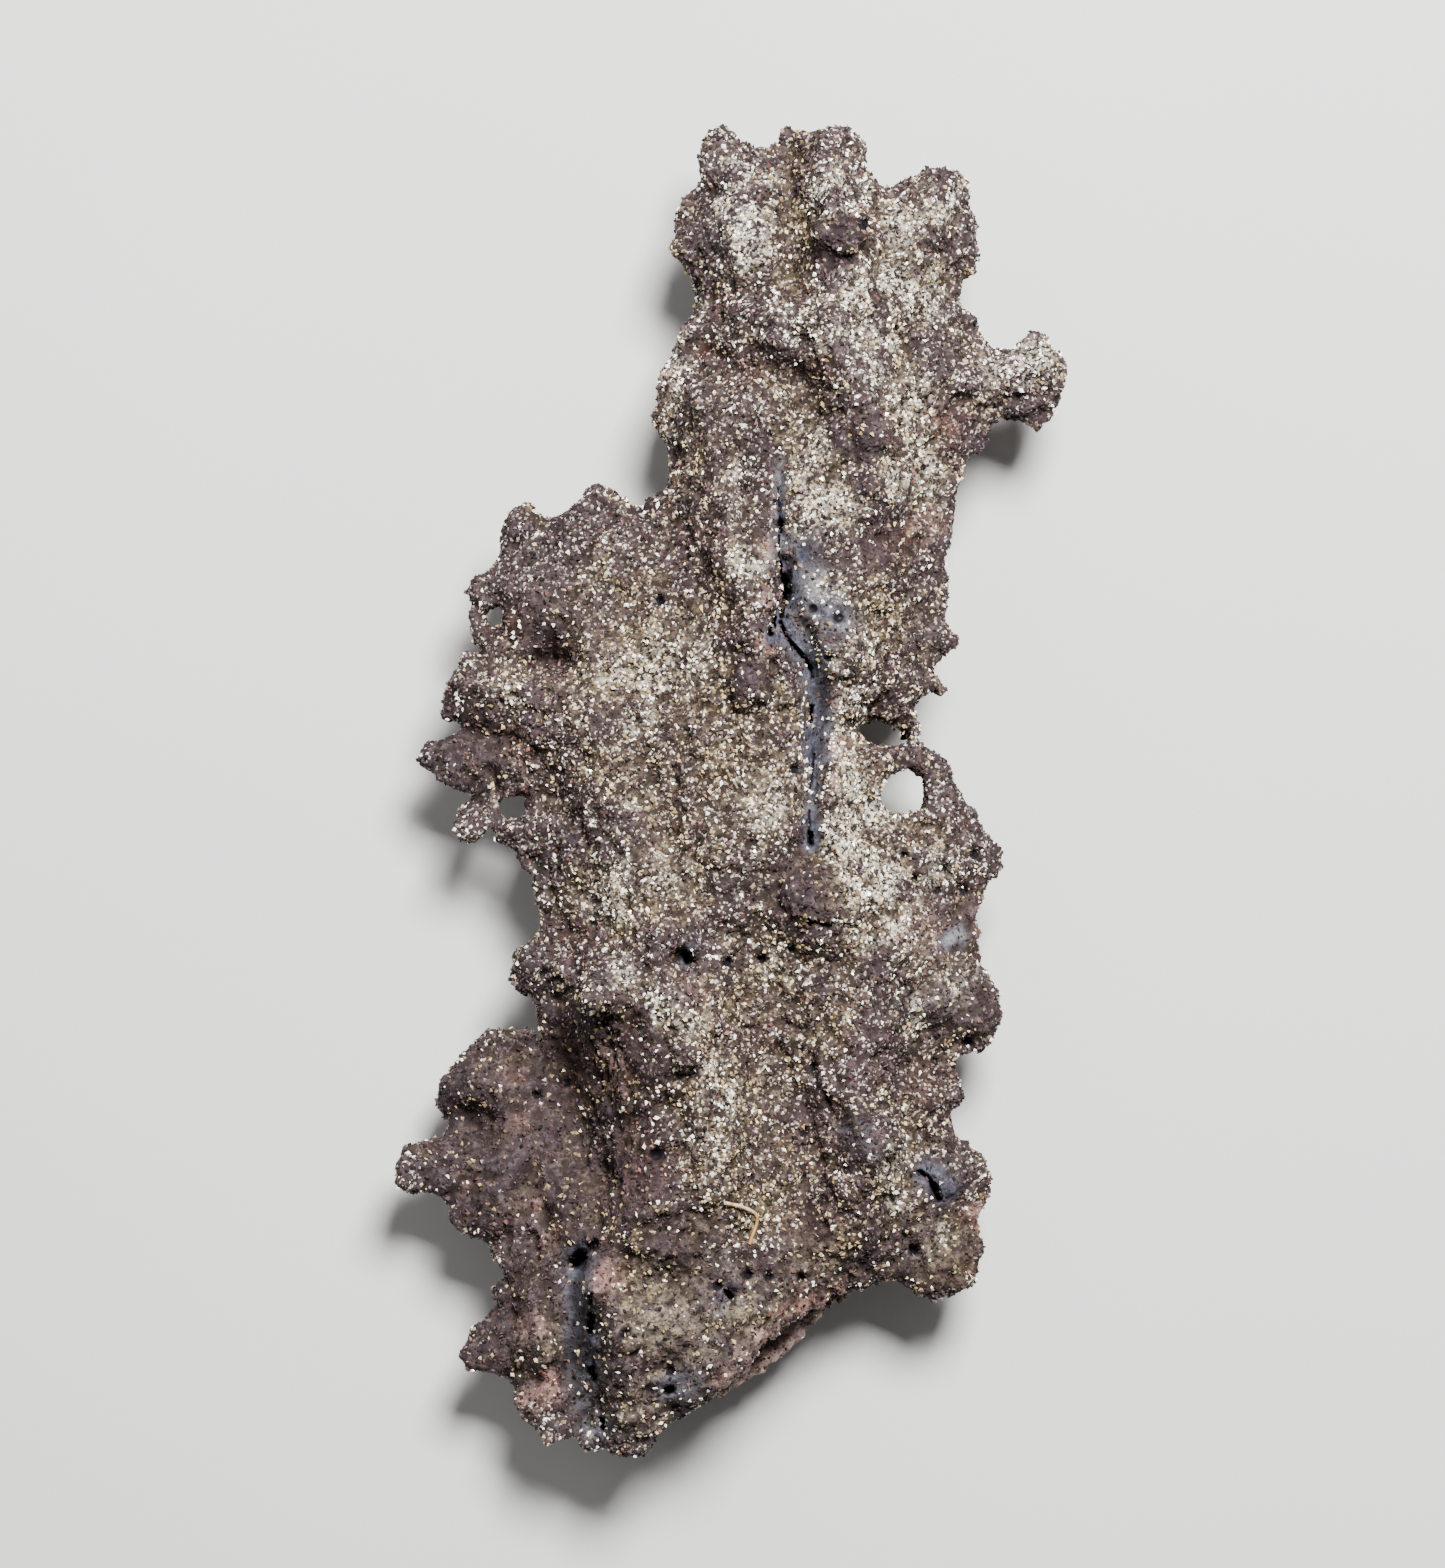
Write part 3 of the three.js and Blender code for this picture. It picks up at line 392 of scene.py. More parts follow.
# Splits the faces near the narrow openings, so that their edges come out sharp
def refineNearOpenings(body):
    for reach in bodyForm["finerWithin"]:
        mesh = body.data
        seen = seenFromAbove(placesOf(mesh))
        away = [distanceTo(seen, line) - halfWidth for line, halfWidth, _ in slots]
        away += [distanceFrom(seen, x, y) - bodyForm["pitCore"] * radius for x, y, radius, _ in pits]
        near = (np.min(away, axis=0) < reach) & (normalsOf(mesh)[:, 2] > 0)
        starts = np.empty(len(mesh.polygons), np.int32)
        mesh.polygons.foreach_get("loop_start", starts)
        selectFaces(mesh, np.logical_and.reduceat(near[cornersOf(mesh)], starts))
        edited(body, bpy.ops.mesh.subdivide, everything=False, number_cuts=1, ngon=False)


# Carves the slots and pits, and flattens the feet
def openSkin(mesh):
    co = placesOf(mesh)
    seen = seenFromAbove(co)
    front = facingUp(mesh)
    co[:, 2] -= front * strokesAt(seen, slots, fading["slot"])
    for x, y, radius, depth in pits:
        co[:, 2] -= front * depth * bell(distanceFrom(seen, x, y) / (radius * fading["pit"]))
    co[:, 2] = np.where(co[:, 2] < bodyForm["restsBelow"], bodyForm["restsAt"], co[:, 2])
    place(mesh, co)


def makeBody():
    body = newPiece("fusedBody", frame["nodes"]["fulgurite"].data.copy())
    edited(body, bpy.ops.mesh.remove_doubles, threshold=bodyForm["mergeWithin"] * mm)
    cutHoles(body)
    addRearLip(body)
    remade(body)
    mesh = body.data
    co = placesOf(mesh)
    seen = seenFromAbove(co)
    near = sum(distanceFrom(seen, x, y) < radius for x, y, radius in closedMouths) > 0
    co[:, 2] = closedOver(mesh, co[:, 2], near & (co[:, 2] > bodyForm["frontAbove"]))
    place(mesh, co)
    remade(body)
    applied(body, "SMOOTH", factor=0.5, iterations=bodyForm["smoothing"])
    calm = placesOf(body.data)
    for kind, size, height in bodyForm["skinWaves"]:
        texture = bpy.data.textures.new(f"skin{kind.title()}{size}", kind)
        texture.noise_scale = size * mm
        applied(body, "DISPLACE", texture=texture, texture_coords="LOCAL",
                strength=height * mm, mid_level=0.5)
    mesh = body.data
    co = placesOf(mesh)
    seen = seenFromAbove(co)
    front = facingUp(mesh)
    glassy = np.clip(linesAt(seen, glassLines) * bodyForm["glassGain"], 0, 1) * front
    dull = patchAt(seen, dullPatches) * front
    waves = (1 - bodyForm["calmOnGlass"] * glassy) * (1 - bodyForm["calmWhereDull"] * dull)
    co = calm + (co - calm) * waves[:, None]
    drawRims(co, seen)
    co[:, 2] += front * strokesAt(seen, fineForms, fading["form"])
    place(mesh, co)
    refineNearOpenings(body)
    mesh = body.data
    openSkin(mesh)
    mesh.shade_smooth()
    mesh.materials.clear()
    mesh.materials.append(fusedSkin())
    print("body:", sum(len(face.vertices) - 2 for face in mesh.polygons), "triangles")
    return body


# Where the skin changes: x, y, radius in mm and strength
sandPatches = [
    (11, 33, 3.8, 1), (7.6, 31.6, 2.4, 0.9), (10.8, 29.6, 2.2, 0.8), (11.7, 24.8, 2.4, 0.9), (11.4, 20.8, 3, 1),
    (5.6, 19.4, 3.4, 1), (4.5, 22.4, 2.4, 0.9), (3.8, 36.5, 2, 0.9), (3.6, 33, 1.8, 0.7), (3.9, 39.6, 1.7, 0.8),
    (-5.4, 8.4, 5.4, 1), (-8.6, 6.6, 3.6, 0.9), (-1.6, 5.6, 4, 0.9), (7.6, 8.4, 2.2, 1), (7.8, 4.4, 2.4, 0.9),
    (7.6, -0.6, 3.6, 1), (9, -4.6, 4, 1), (10, -8, 3.4, 1), (3.4, -11, 2.6, 0.9), (-0.8, -19.4, 3, 1),
    (1.4, -26.4, 3, 0.9), (-3.4, -4.6, 4.2, 0.8), (3.2, 5.6, 2.4, 0.9), (1.8, -0.6, 3.6, 0.9),
    (10, -25, 2.6, 0.8), (-14.4, 6.6, 2.6, 0.4), (0.4, -13.4, 3, 0.6), (-1.4, -15.4, 2.2, 0.7),
    (-0.8, -23, 3, 0.9), (3.4, -22.6, 3, 0.6), (4.6, 25.4, 2.4, 0.7), (0.2, 14.4, 2.8, 0.7), (-6.4, 1, 4, 0.7),
    (-0.6, 1.6, 4, 0.7), (-6.6, -8, 2.6, 0.5), (9.6, 14, 2.6, 0.5), (-3.6, -33.4, 4.4, 1), (0.6, -34, 3, 0.9),
    (-7, -36, 2.4, 0.6), (-3.6, 24.4, 2.4, 0.6), (-2.4, 20, 2.2, 0.6), (12.6, -15.4, 2.4, 0.5),
    (12.8, -29, 3, 0.6), (-1.6, 22, 2.4, 0.6), (9.4, 11, 2.8, 0.7), (-7.4, 13, 3.4, 0.6),
    (11.6, -20.6, 2.4, 0.5), (1.2, 33.6, 1.8, 0.5), (13, -2.4, 2.6, 0.5), (-8.6, -5, 2.4, 0.5),
    (-12.4, -36, 2, 0.6), (6, -15, 3, 0.6), (13, -11, 2.2, 0.4), (-5.4, -38, 2.6, 0.9), (6, -28.6, 3, 0.5),
    (-12, -27, 2.4, 0.5), (-9, 11, 2.4, 0.5), (12.6, 7, 2.2, 0.5), (-4.6, 23.6, 1.6, 0.5),
    (-13.4, 12.6, 2.2, 0.4),
]
# Bare smooth glass, and the darkest blue glass in it, which is partly painted shade down the channels, slots and
# holes it follows: line, half-width and strength
glassLines = [
    ([(3.7, 15.4), (4.4, 14.2), (4.9, 12.6), (5.6, 11.4), (6.7, 10.9)], 1.6, 0.55),
    ([(3.3, 11.2), (2.8, 10.2), (3.7, 9.7)], 0.8, 0.9),
    ([(3.7, 10.3), (4.5, 9.2), (5.1, 8.2), (5.5, 6.6), (5.6, 5), (5.4, 3.4), (5.3, 2.2)], 1, 1),
    ([(5.3, 2.2), (5.3, 0.2), (5.1, -1), (5.1, -3.4)], 0.6, 0.9), ([(3.1, 21), (3.1, 16)], 0.35, 0.8),
    ([(-2.9, -10), (-3, -11)], 0.55, 0.4), ([(7.6, -21.6), (8.4, -22.4)], 1.2, 0.3),
    ([(12.2, -24.6), (13.6, -25)], 1.1, 0.28), ([(-4.3, -38.2), (-2.6, -37.8)], 1, 0.45),
    ([(-1, -33.2), (-0.4, -32)], 0.5, 0.35), ([(-9.7, -29.9), (-9.9, -34), (-10, -37), (-9.5, -39)], 0.95, 0.6),
    ([(13.8, -9.4), (14.4, -9.2)], 0.7, 0.9), ([(-9, -40.4), (-8.6, -40.8)], 1, 0.7),
]
navyLines = [
    ([(3.7, 15), (5.3, 15.2)], 0.8, 0.8), ([(3.7, 14.1), (3.9, 12.2)], 0.7, 0.7),
    ([(3.2, 11), (2.6, 9.8)], 0.6, 0.9),
    ([(3.5, 10.3), (4.5, 9), (5.1, 8), (5.4, 6.6), (5.5, 5), (5.3, 3.4), (5.25, 2.2)], 0.62, 1),
    ([(5.25, 2.2), (5.3, 0.2)], 0.3, 0.9), ([(5, -1.4), (5.1, -3.4)], 0.55, 0.9),
    ([(5.6, 11.6), (6.6, 10.8)], 0.6, 0.6), ([(12.4, -24.4), (13.6, -25.4)], 0.9, 0.9),
    ([(-2.9, -10), (-3, -11)], 0.5, 0.5), ([(-4.1, -38.3), (-3.3, -37.4)], 0.8, 0.5),
    ([(-0.5, -32.3), (0, -31.9)], 0.55, 0.5), ([(3.1, 20.6), (3.1, 16.4)], 0.25, 0.9),
    ([(-9.6, -29.5), (-9.8, -30.4)], 0.9, 0.8), ([(-9, -33.2), (-8.9, -37.6)], 0.6, 0.8),
    ([(-10.2, -31), (-10.3, -36)], 0.5, 0.5),
]
crustPatches = [
    (-8.3, -31, 1.5, 1), (-11.5, -38, 1.4, 0.9), (-13.2, -39.2, 1.1, 0.9), (-12.7, -34, 1.2, 0.6),
    (6.6, -32.6, 1.2, 0.8), (5, -33, 1.1, 1), (3.4, -33.8, 1.1, 1), (2, -35, 1.1, 1), (1, -36.4, 1.1, 1),
    (-0.4, -37.6, 1.2, 1), (6.6, 3, 0.9, 0.8), (6.5, 0.6, 0.8, 0.8), (6.4, 6, 0.9, 0.8), (2.4, 12.4, 0.9, 0.8),
    (2.2, 9.4, 0.9, 0.7), (-13.2, 1.4, 1.1, 0.45), (-14, -0.2, 1.2, 0.45), (-4.4, 26, 1.2, 0.5),
    (-3.6, 29.4, 1, 0.6), (12, -8.4, 2, 0.3), (16.4, -8, 1.5, 0.5), (9.4, -22, 0.8, 0.6), (15.8, -27, 1.2, 0.6),
    (-6, -24.6, 1.8, 0.4), (12.4, 17, 1.6, 0.4), (13.6, 24, 1.4, 0.4), (2.2, 15.4, 1, 0.5),
    (-2.4, -13, 1.4, 0.3), (-14, -18, 0.9, 0.45), (-13.9, -21, 0.9, 0.45), (-7.2, -18, 1.2, 0.4),
    (-6.6, -22, 1.2, 0.4), (-12.4, -26.4, 1.1, 0.5), (-11.6, -28.4, 1, 0.5), (-17, -25.6, 0.9, 0.4),
]
# Where little glitters: the smoother lower end and its left lobe
dullPatches = [
    (-9, -18, 5, 1), (-14, -22, 6, 1), (-9, -25, 5, 0.9), (-10, -33, 6, 0.6), (-4, -36, 5, 0.45),
    (1, -33, 4, 0.35), (6, -31, 4, 0.5), (-15, -35, 4, 0.8), (12, -29, 4, 0.35), (1.3, 7.2, 1.6, 0.35),
    (4.6, -6.6, 2.6, 0.6), (-12, 10.6, 2.2, 0.5), (14.6, -14, 3, 0.3), (-16.5, 3, 3, 0.35), (6.8, 35.2, 2, 0.8),
    (9, 23, 2, 0.4), (-3, -29.6, 3.4, 0.6), (16, -8.6, 2.6, 0.35), (10, 15.6, 2, 0.4),
]
# The paler, ashy crust of the lower end
ashPatches = [
    (-4, -34, 4.6, 0.9), (0.4, -33, 3.6, 0.7), (-5, -38.4, 3, 0.8), (5, -30, 3, 0.4), (-12.4, -34.4, 2.6, 0.5),
    (-13, -29, 2.6, 0.4), (-4, -30.6, 2.6, 0.5), (14, -13, 2.4, 0.4), (12, -29, 2.6, 0.4), (-7, -37.4, 2.2, 0.7),
    (-6.6, -33.4, 1.9, 0.6), (-1, -36.4, 2.4, 0.6), (-9, -17.6, 2.6, 0.3),
]
# The pale pink inner face of the rear wall, laid bare beyond the break
bareWall = [
    (6.9, -33.4, 0.9, 1), (5.8, -33.9, 0.9, 1), (4.7, -34.6, 1, 1), (3.7, -35.4, 1.1, 1), (2.8, -36.2, 1.1, 1),
    (1.9, -37.1, 1.1, 1), (0.9, -38, 1.1, 1), (-0.2, -38.7, 1, 1), (7.9, -32.7, 0.8, 1),
]
# Reddish-brown skin: partly its own colour, partly painted shade under overhangs and bumps: x, y, radius in mm
# and strength
brownAndShadedPatches = [
    (5, 27, 1.8, 0.8), (-2.4, 16.4, 2, 1), (10, 15.6, 1.8, 0.9), (-11.4, 8.2, 1.5, 0.9), (-13.4, 3.2, 1.4, 0.7),
    (8.6, 36.4, 1.2, 1), (0.8, 26.8, 1.3, 0.5), (-3.6, 21, 1.4, 0.4), (-9, -18, 3, 0.4), (5, -22, 2.6, 0.7),
    (5, -27, 2.2, 0.6), (9, -17, 2.6, 0.6), (14, 23, 1.6, 0.9), (-1.6, 28.2, 1, 0.9), (1, -16, 1.6, 0.5),
    (-14, -28, 2, 0.4), (-5.2, -23.6, 1.8, 0.8), (12.4, -18.6, 2, 0.6), (-0.6, 30.8, 1.2, 0.5),
    (-14.4, 10.8, 1.6, 0.5), (19.6, 25, 1.2, 0.4), (4.6, -32.4, 1, 0.8), (-10.4, -9.6, 1.8, 0.6),
]
# Darker skin and grains: partly dark glass, partly painted shade under the spur, the knob, the bumps and ridges
# and over the low lobe beside the ridge: x, y, radius in mm and strength
darkAndShadedPatches = [
    (-1.8, 35, 2.2, 0.9), (6.4, 34.4, 2.1, 0.3), (8.2, 35.4, 1.2, 0.5), (0.3, 30.7, 1.3, 0.3),
    (4.6, 26.4, 1.6, 0.55), (2.4, 28.4, 1.5, 0.5), (7.9, 22.8, 2.3, 0.9), (8.6, 19.4, 1.5, 0.6),
    (-2.5, 18.4, 1.8, 0.8), (-2.3, 15.6, 2.1, 1), (-1.6, 12.8, 1.5, 0.5), (9.7, 15.4, 2.1, 0.9),
    (12.4, 15, 1.6, 0.5), (1.3, 6.9, 1.6, 1), (1.6, 4, 1.2, 0.25), (-11.5, 8.3, 1.6, 1), (-12.3, 11.4, 1.9, 0.5),
    (-15.4, 3.6, 2.2, 0.7), (-13, 4, 1.5, 0.6), (-18.4, 1.6, 2.2, 0.9), (-15.6, 1.2, 2.2, 0.7),
    (-11.6, 14.6, 2.6, 0.8), (-9.6, 11.6, 1.7, 0.35), (-14.6, 8.8, 1.5, 0.4), (-14.6, 16.4, 2.2, 0.7),
    (-8.4, 17.4, 2, 0.5), (-14.4, 13, 2, 0.6), (-13.6, -0.6, 2, 0.8), (-9.8, -3.6, 1.9, 0.6), (-12, -5, 2, 0.7),
    (-11.4, -9.8, 2.6, 0.8), (-9.4, -10.6, 2.2, 0.8), (-12.4, -13.4, 2, 0.5), (-9.2, -17.8, 3.4, 0.2),
    (-12, -18.6, 2.8, 0.45), (-8, -20.6, 2.8, 0.3), (-6.2, -24.4, 2.8, 0.7), (-8.6, -27, 2.2, 0.6),
    (-12.4, -24.6, 3, 0.7), (-17.4, -22, 2.6, 0.7), (-17.2, -26.4, 2.4, 0.7), (-10, -22.6, 3, 0.8),
    (-15.8, -19.6, 3.2, 0.8), (-15, -24, 3, 0.7), (-19.4, -24.2, 2.6, 0.7), (-13.4, -28, 2.6, 0.8),
    (-9.8, -30, 2.2, 1), (-12.8, -31.6, 2, 0.6), (-15.6, -34, 3, 0.8), (-14.4, -37, 2.2, 0.6),
    (-9.6, -35, 1.7, 0.1), (-9.2, -38.6, 2, 0.2), (-11, -41, 2, 0.7), (-6.6, -41.6, 1.8, 0.7),
    (-3, -28.8, 1.9, 0.4), (-3.6, -25.4, 1.7, 0.4), (4.2, -6, 1.9, 1), (6.2, -8.4, 1.5, 0.2),
    (-2.4, -9.4, 1.5, 0.6), (-1.4, -7, 1.5, 0.4), (-2.2, 1, 1.5, 0.3), (0.2, -16.6, 1.5, 0.5),
    (6, -12.6, 1.9, 0.5), (9.4, -17, 2.6, 0.8), (13, -18.2, 2, 0.4), (14.6, -14.4, 2.1, 0.3),
    (14, -9.2, 1.7, 0.5), (5, -21.6, 2.3, 0.8), (5, -26.6, 2.4, 0.7), (8, -21.8, 1.9, 0.7),
    (13.3, -24.7, 2, 0.9), (10, -28.6, 1.7, 0.7), (3.4, -28.6, 1.5, 0.5), (-0.6, -31.6, 1.4, 0.7),
    (2.8, -31.4, 1.4, 0.5), (-0.6, -35.6, 1.7, 0.4), (-3.4, -37.8, 2, 0.6), (15.2, 22.4, 1.6, 0.9),
    (12.6, 28, 2, 0.5), (14, 30.6, 1.7, 0.5), (18.2, 24.8, 1.9, 0.5), (16, 25.6, 1.6, 0.4), (12.6, 11, 2, 0.5),
    (12.2, 8, 1.8, 0.5), (15, 34.8, 1.5, 0.4), (12.4, 9.8, 1.7, 0.5), (-7.2, 2.6, 1.3, 0.4), (-2, -3, 1.6, 0.4),
    (-1.4, 3.8, 1.4, 0.3), (1.4, 7.4, 1.4, 0.6), (-6.6, 15.4, 1.7, 0.3), (1.6, 22.4, 1.2, 0.4),
    (-3.6, 21.4, 1.3, 0.5), (3.4, 24.4, 1.1, 0.3),
]
# Paler places: white grains, partly painted glints and light on faces turned to the lamp, given as pale speckled
# skin and more white quartz grains: x, y, radius in mm and strength
brightAndLitPatches = [
    (11, 31.6, 3, 1), (10.4, 29.8, 2, 1), (7.3, 32, 2.2, 1), (0.6, 38.4, 2.8, 1), (0.6, 34.6, 2.2, 1),
    (6.8, 38.2, 2.1, 1), (10.6, 36, 1.8, 0.6), (13.6, 37.6, 1.7, 0.6), (6.6, 29.6, 2.4, 0.6),
    (2.2, 31.8, 1.6, 0.4), (3, 29.7, 1.8, 0.5), (8.6, 27, 1.8, 0.4), (-3.4, 26.2, 1.9, 1),
    (18.8, 27.2, 2.1, 0.75), (16.4, 26.6, 1.5, 0.5), (-4, 22.4, 1.5, 0.6), (0.6, 20.6, 1.4, 0.5),
    (-3.8, 28.8, 1.2, 0.5), (11.5, 20.6, 2.3, 1), (11.6, 25, 1.8, 0.8), (5.6, 18.4, 2.8, 0.7), (5, 22, 1.6, 0.5),
    (5.8, 12.8, 1.5, 0.9), (7.4, 9, 1.9, 0.9), (7.7, 5.6, 1.6, 0.7), (3.2, 7.5, 0.9, 0.6), (-3.6, 8.4, 2.8, 0.5),
    (-8, 7.6, 2, 0.4), (-6, 4.8, 1.8, 0.4), (-5.4, 7.6, 2, 0.5), (7, 0.2, 2.2, 1), (7.2, -2.6, 2.2, 1),
    (9.8, -7.8, 2.8, 1), (8.4, -5, 2, 0.9), (6.9, 3.5, 1.4, 1), (0.9, 14.4, 1.4, 0.8), (2.2, -0.8, 2.2, 0.5),
    (-4, -5, 1.8, 0.5), (-7.4, -1, 1.5, 0.4), (-7.4, -5, 1.5, 0.5), (-13.6, 6.8, 2, 0.2),
    (-10.6, 6.2, 1.8, 0.15), (1.4, 14.6, 1.3, 0.6), (-7.6, -11.6, 1.9, 0.5), (-4.6, -13.6, 1.6, 0.5),
    (-7.8, -7.4, 1.8, 0.5), (-2.6, -14.6, 1.2, 0.6), (-1.2, -17.4, 1.1, 0.6), (-0.6, -19.6, 1.5, 0.7),
    (-1.6, -22.6, 1.5, 0.4), (10, -23.6, 1.5, 0.7), (10.6, -26.4, 1.2, 0.4), (13, -28, 1.3, 0.5),
    (3.2, -11, 1.5, 0.5), (12.6, -5, 2, 0.4), (14.5, -12.5, 1.8, 0.45), (11.5, -14, 1.6, 0.4),
    (8.2, -1.4, 2.4, 1), (9.4, -5.8, 2.2, 1), (-1, -30, 1.2, 0.4),
]

# Random clusters over the skin: rounds of smoothing and seed
skinClusters = {"crumbs": (5, 21), "broad": (60, 22), "grit": (2, 23), "mottle": (16, 24)}
# Hollows in it: rounds of smoothing, and the depth in mm that counts in full; the small ones (nook) carry
# painted shade
skinHollows = {"wide": (60, 0.35), "nook": (5, 0.09)}
# How crumbs and mottle break up a patch: its base, what each adds, the least and the most
unevenness = {
    "glass": (0.85, 0.5, 0, 0.3, 1.1),
    "crust": (0.75, 0.8, -0.3, 0.1, 1.2),
    "navy": (0.85, 0.7, 0, 0.25, 1.2),
    "bright": (0.95, 1.4, -1.2, 0, 1.3),
    "ash": (0.85, 0.5, -0.3, 0, 1.2),
}
# Where grains lie thinner: the share taken away, how soon a mask counts, and at most how much
thinning = {
    "glass": (0.4, 1.4, 1), "navy": (0.65, 1.8, 1), "openingShade": (1, 1, 1), "nook": (0.45, 1, 1),
    "dull": (0.2, 1, 1), "bare": (0.6, 1, 1), "crust": (0.35, 1, 1.2),
}
bareBelow = 0.5     # no grains on the feet under this height in mm


# One layer for each change of the skin, from 0 to about 1
def skinMasks(mesh, seen, noise, hollow, nook):
    front = facingUp(mesh, start=0.6)
    back = 1 - front
    facing = facingUp(mesh, steepness=2, start=1)
    crumbs, mottle = noise["crumbs"], noise["mottle"]
    deep = np.maximum(hollow, 0)
    bump = np.clip(0.7 * np.maximum(-hollow, 0) + 0.5 * mottle, 0, 1)

    def uneven(name):
        base, byCrumbs, byMottle, lowest, highest = unevenness[name]
        return np.clip(base + byCrumbs * crumbs + byMottle * mottle, lowest, highest)

    # Painted shade: the slots and pits are darkened nearly to black, for the shade deep inside them
    inSlot = sum(bell(distanceTo(seen, line) / (halfWidth * fading["slotShade"])) for line, halfWidth, _ in slots)
    inPit = sum(bell(distanceFrom(seen, x, y) / (radius * fading["pitShade"])) for x, y, radius, _ in pits)
    sandy = patchAt(seen, sandPatches) * (1 - 0.4 * bump) + 0.3 * crumbs + 0.2 * noise["broad"] - 0.2 * mottle
    # Painted shade also browns the deep hollows on the sides and underside
    brown = patchAt(seen, brownAndShadedPatches) * front + 0.25 * back * deep
    dark = np.clip(patchAt(seen, darkAndShadedPatches) * front + 0.5 * bump, 0, 1)
    lit = np.clip(1.4 * patchAt(seen, brightAndLitPatches), 0, 1) * front * (1 - gloomOf(dark, brown))
    return {
        "sand": np.clip(sandy * front + 0.4 * deep + 0.3 * back, 0, 1),
        "glass": linesAt(seen, glassLines) * front * uneven("glass"),
        "crust": patchAt(seen, crustPatches) * facing * uneven("crust"),
        "bare": patchAt(seen, bareWall) * facing,
        "brown": brown,
        "dark": dark,
        "navy": linesAt(seen, navyLines) * front * uneven("navy"),
        "bright": lit * uneven("bright"),
        "dull": patchAt(seen, dullPatches) * front,
        "ash": patchAt(seen, ashPatches) * front * uneven("ash"),
        # Painted shade in the small hollows, broken up by grit
        "nook": np.clip(nook + 0.35 * noise["grit"], 0, 1),
        "openingShade": np.clip(inSlot + 1.3 * inPit, 0, 1) * front,
    }


# The dark glass together with the painted shade in the dark and brown masks; it takes pale grains away and adds
# black ones
def gloomOf(dark, brown):
    return np.maximum(dark, 0.9 * brown)


# How much of each kind of grain there is; the kinds take their ranges of chance in this order
def sharesOf(masks, noise, nook):
    sand, bright, dull, crust, navy = (masks[name] for name in ("sand", "bright", "dull", "crust", "navy"))
    gloom = gloomOf(masks["dark"], masks["brown"])
    # Painted shade and light: fewer pale grains in the small hollows, more on the crests
    crest = np.clip(1 - 0.8 * nook, 0.3, 1.8)
    lively = np.clip(1 + 0.9 * noise["crumbs"] + 0.5 * noise["grit"], 0.1, 2.2) * crest
    cream = (0.05 + 0.5 * sand + 0.4 * bright + 0.6 * sand * bright) * lively
    quartz = (0.15 + 1.5 * bright + 0.5 * masks["glass"]) * lively
    smoky = 0.1 * (2.2 - lively).clip(0, 2) * (1 - 0.4 * sand)
    inGaps = 0.5 * bright * np.clip(-noise["crumbs"], 0, 1)
    return {
        "creamGrains": cream * (1 - 0.75 * gloom) * (1 - 0.65 * dull) * (1 - 0.6 * crust) + 0.1 * dull * lively,
        "quartzGrains": quartz * (1 - 0.7 * gloom) * (1 - 0.85 * dull) * (1 - navy.clip(0, 1)),
        "mauveGrains": (0.28 + 0.3 * masks["dark"] - 0.1 * sand) * (1 - 0.5 * bright),
        "greyGrains": 0.3 * (1 - 0.4 * bright),
        "smokyGrains": smoky + 0.32 * bright + 0.5 * gloom + 0.6 * navy + inGaps,
        "rustGrains": 0.05 + 0.8 * crust + masks["bare"] + 0.25 * masks["brown"],
    }


def paintMasks(body):
    mesh = body.data
    co = placesOf(mesh)
    noise = {name: clusters(mesh, *settings) for name, settings in skinClusters.items()}
    hollow, nook = (np.clip(hollowness(mesh, co, rounds) / full, -1, 1) for rounds, full in skinHollows.values())
    masks = skinMasks(mesh, seenFromAbove(co), noise, hollow, nook)
    for name, values in masks.items():
        addLayer(mesh, name, values)
    keep = np.where(co[:, 2] < bareBelow, 0.0, 1.0)
    for name, (share, gain, most) in thinning.items():
        keep *= 1 - share * np.clip(gain * masks[name], 0, most)
    shares = sharesOf(masks, noise, nook)
    total = sum(shares.values())
    low = np.zeros(len(co))
    for name, share in shares.items():
        high = low + share / total * keep
        addLayer(mesh, name + "From", low)
        addLayer(mesh, name + "To", high)
        low = high
    print("skin painted")


# The grains, in mm: the least distance between them, the lowest and highest of their middles over
# the skin, and the smallest and largest against their kind's radius
scatter = {
    "spacing": 0.192, "densest": 4e7, "depths": (-0.14, 0.02), "sizes": (0.55, 1.5), "turn": 6.283,
    "placeSeed": 7, "depthSeed": 9, "kindSeed": 3,
}
# The few shapes that the grains copy: pyramids with a poked base, pulled a little askew
chipForm = {
    "count": 4, "sides": 4, "height": 0.9, "lift": 0.3, "poke": 0.8,
    "sizes": (0.8, 1.15), "askew": 0.15, "seed": 5,
}
cornersPerChip = 6
# How far apart the grains' tones are, and what dull and bright places add to that; the wider spread in bright
# places is partly painted glints
toneSpread = {"base": 0.75, "dull": -0.35, "bright": 0.5, "least": 0.3, "most": 1.25}

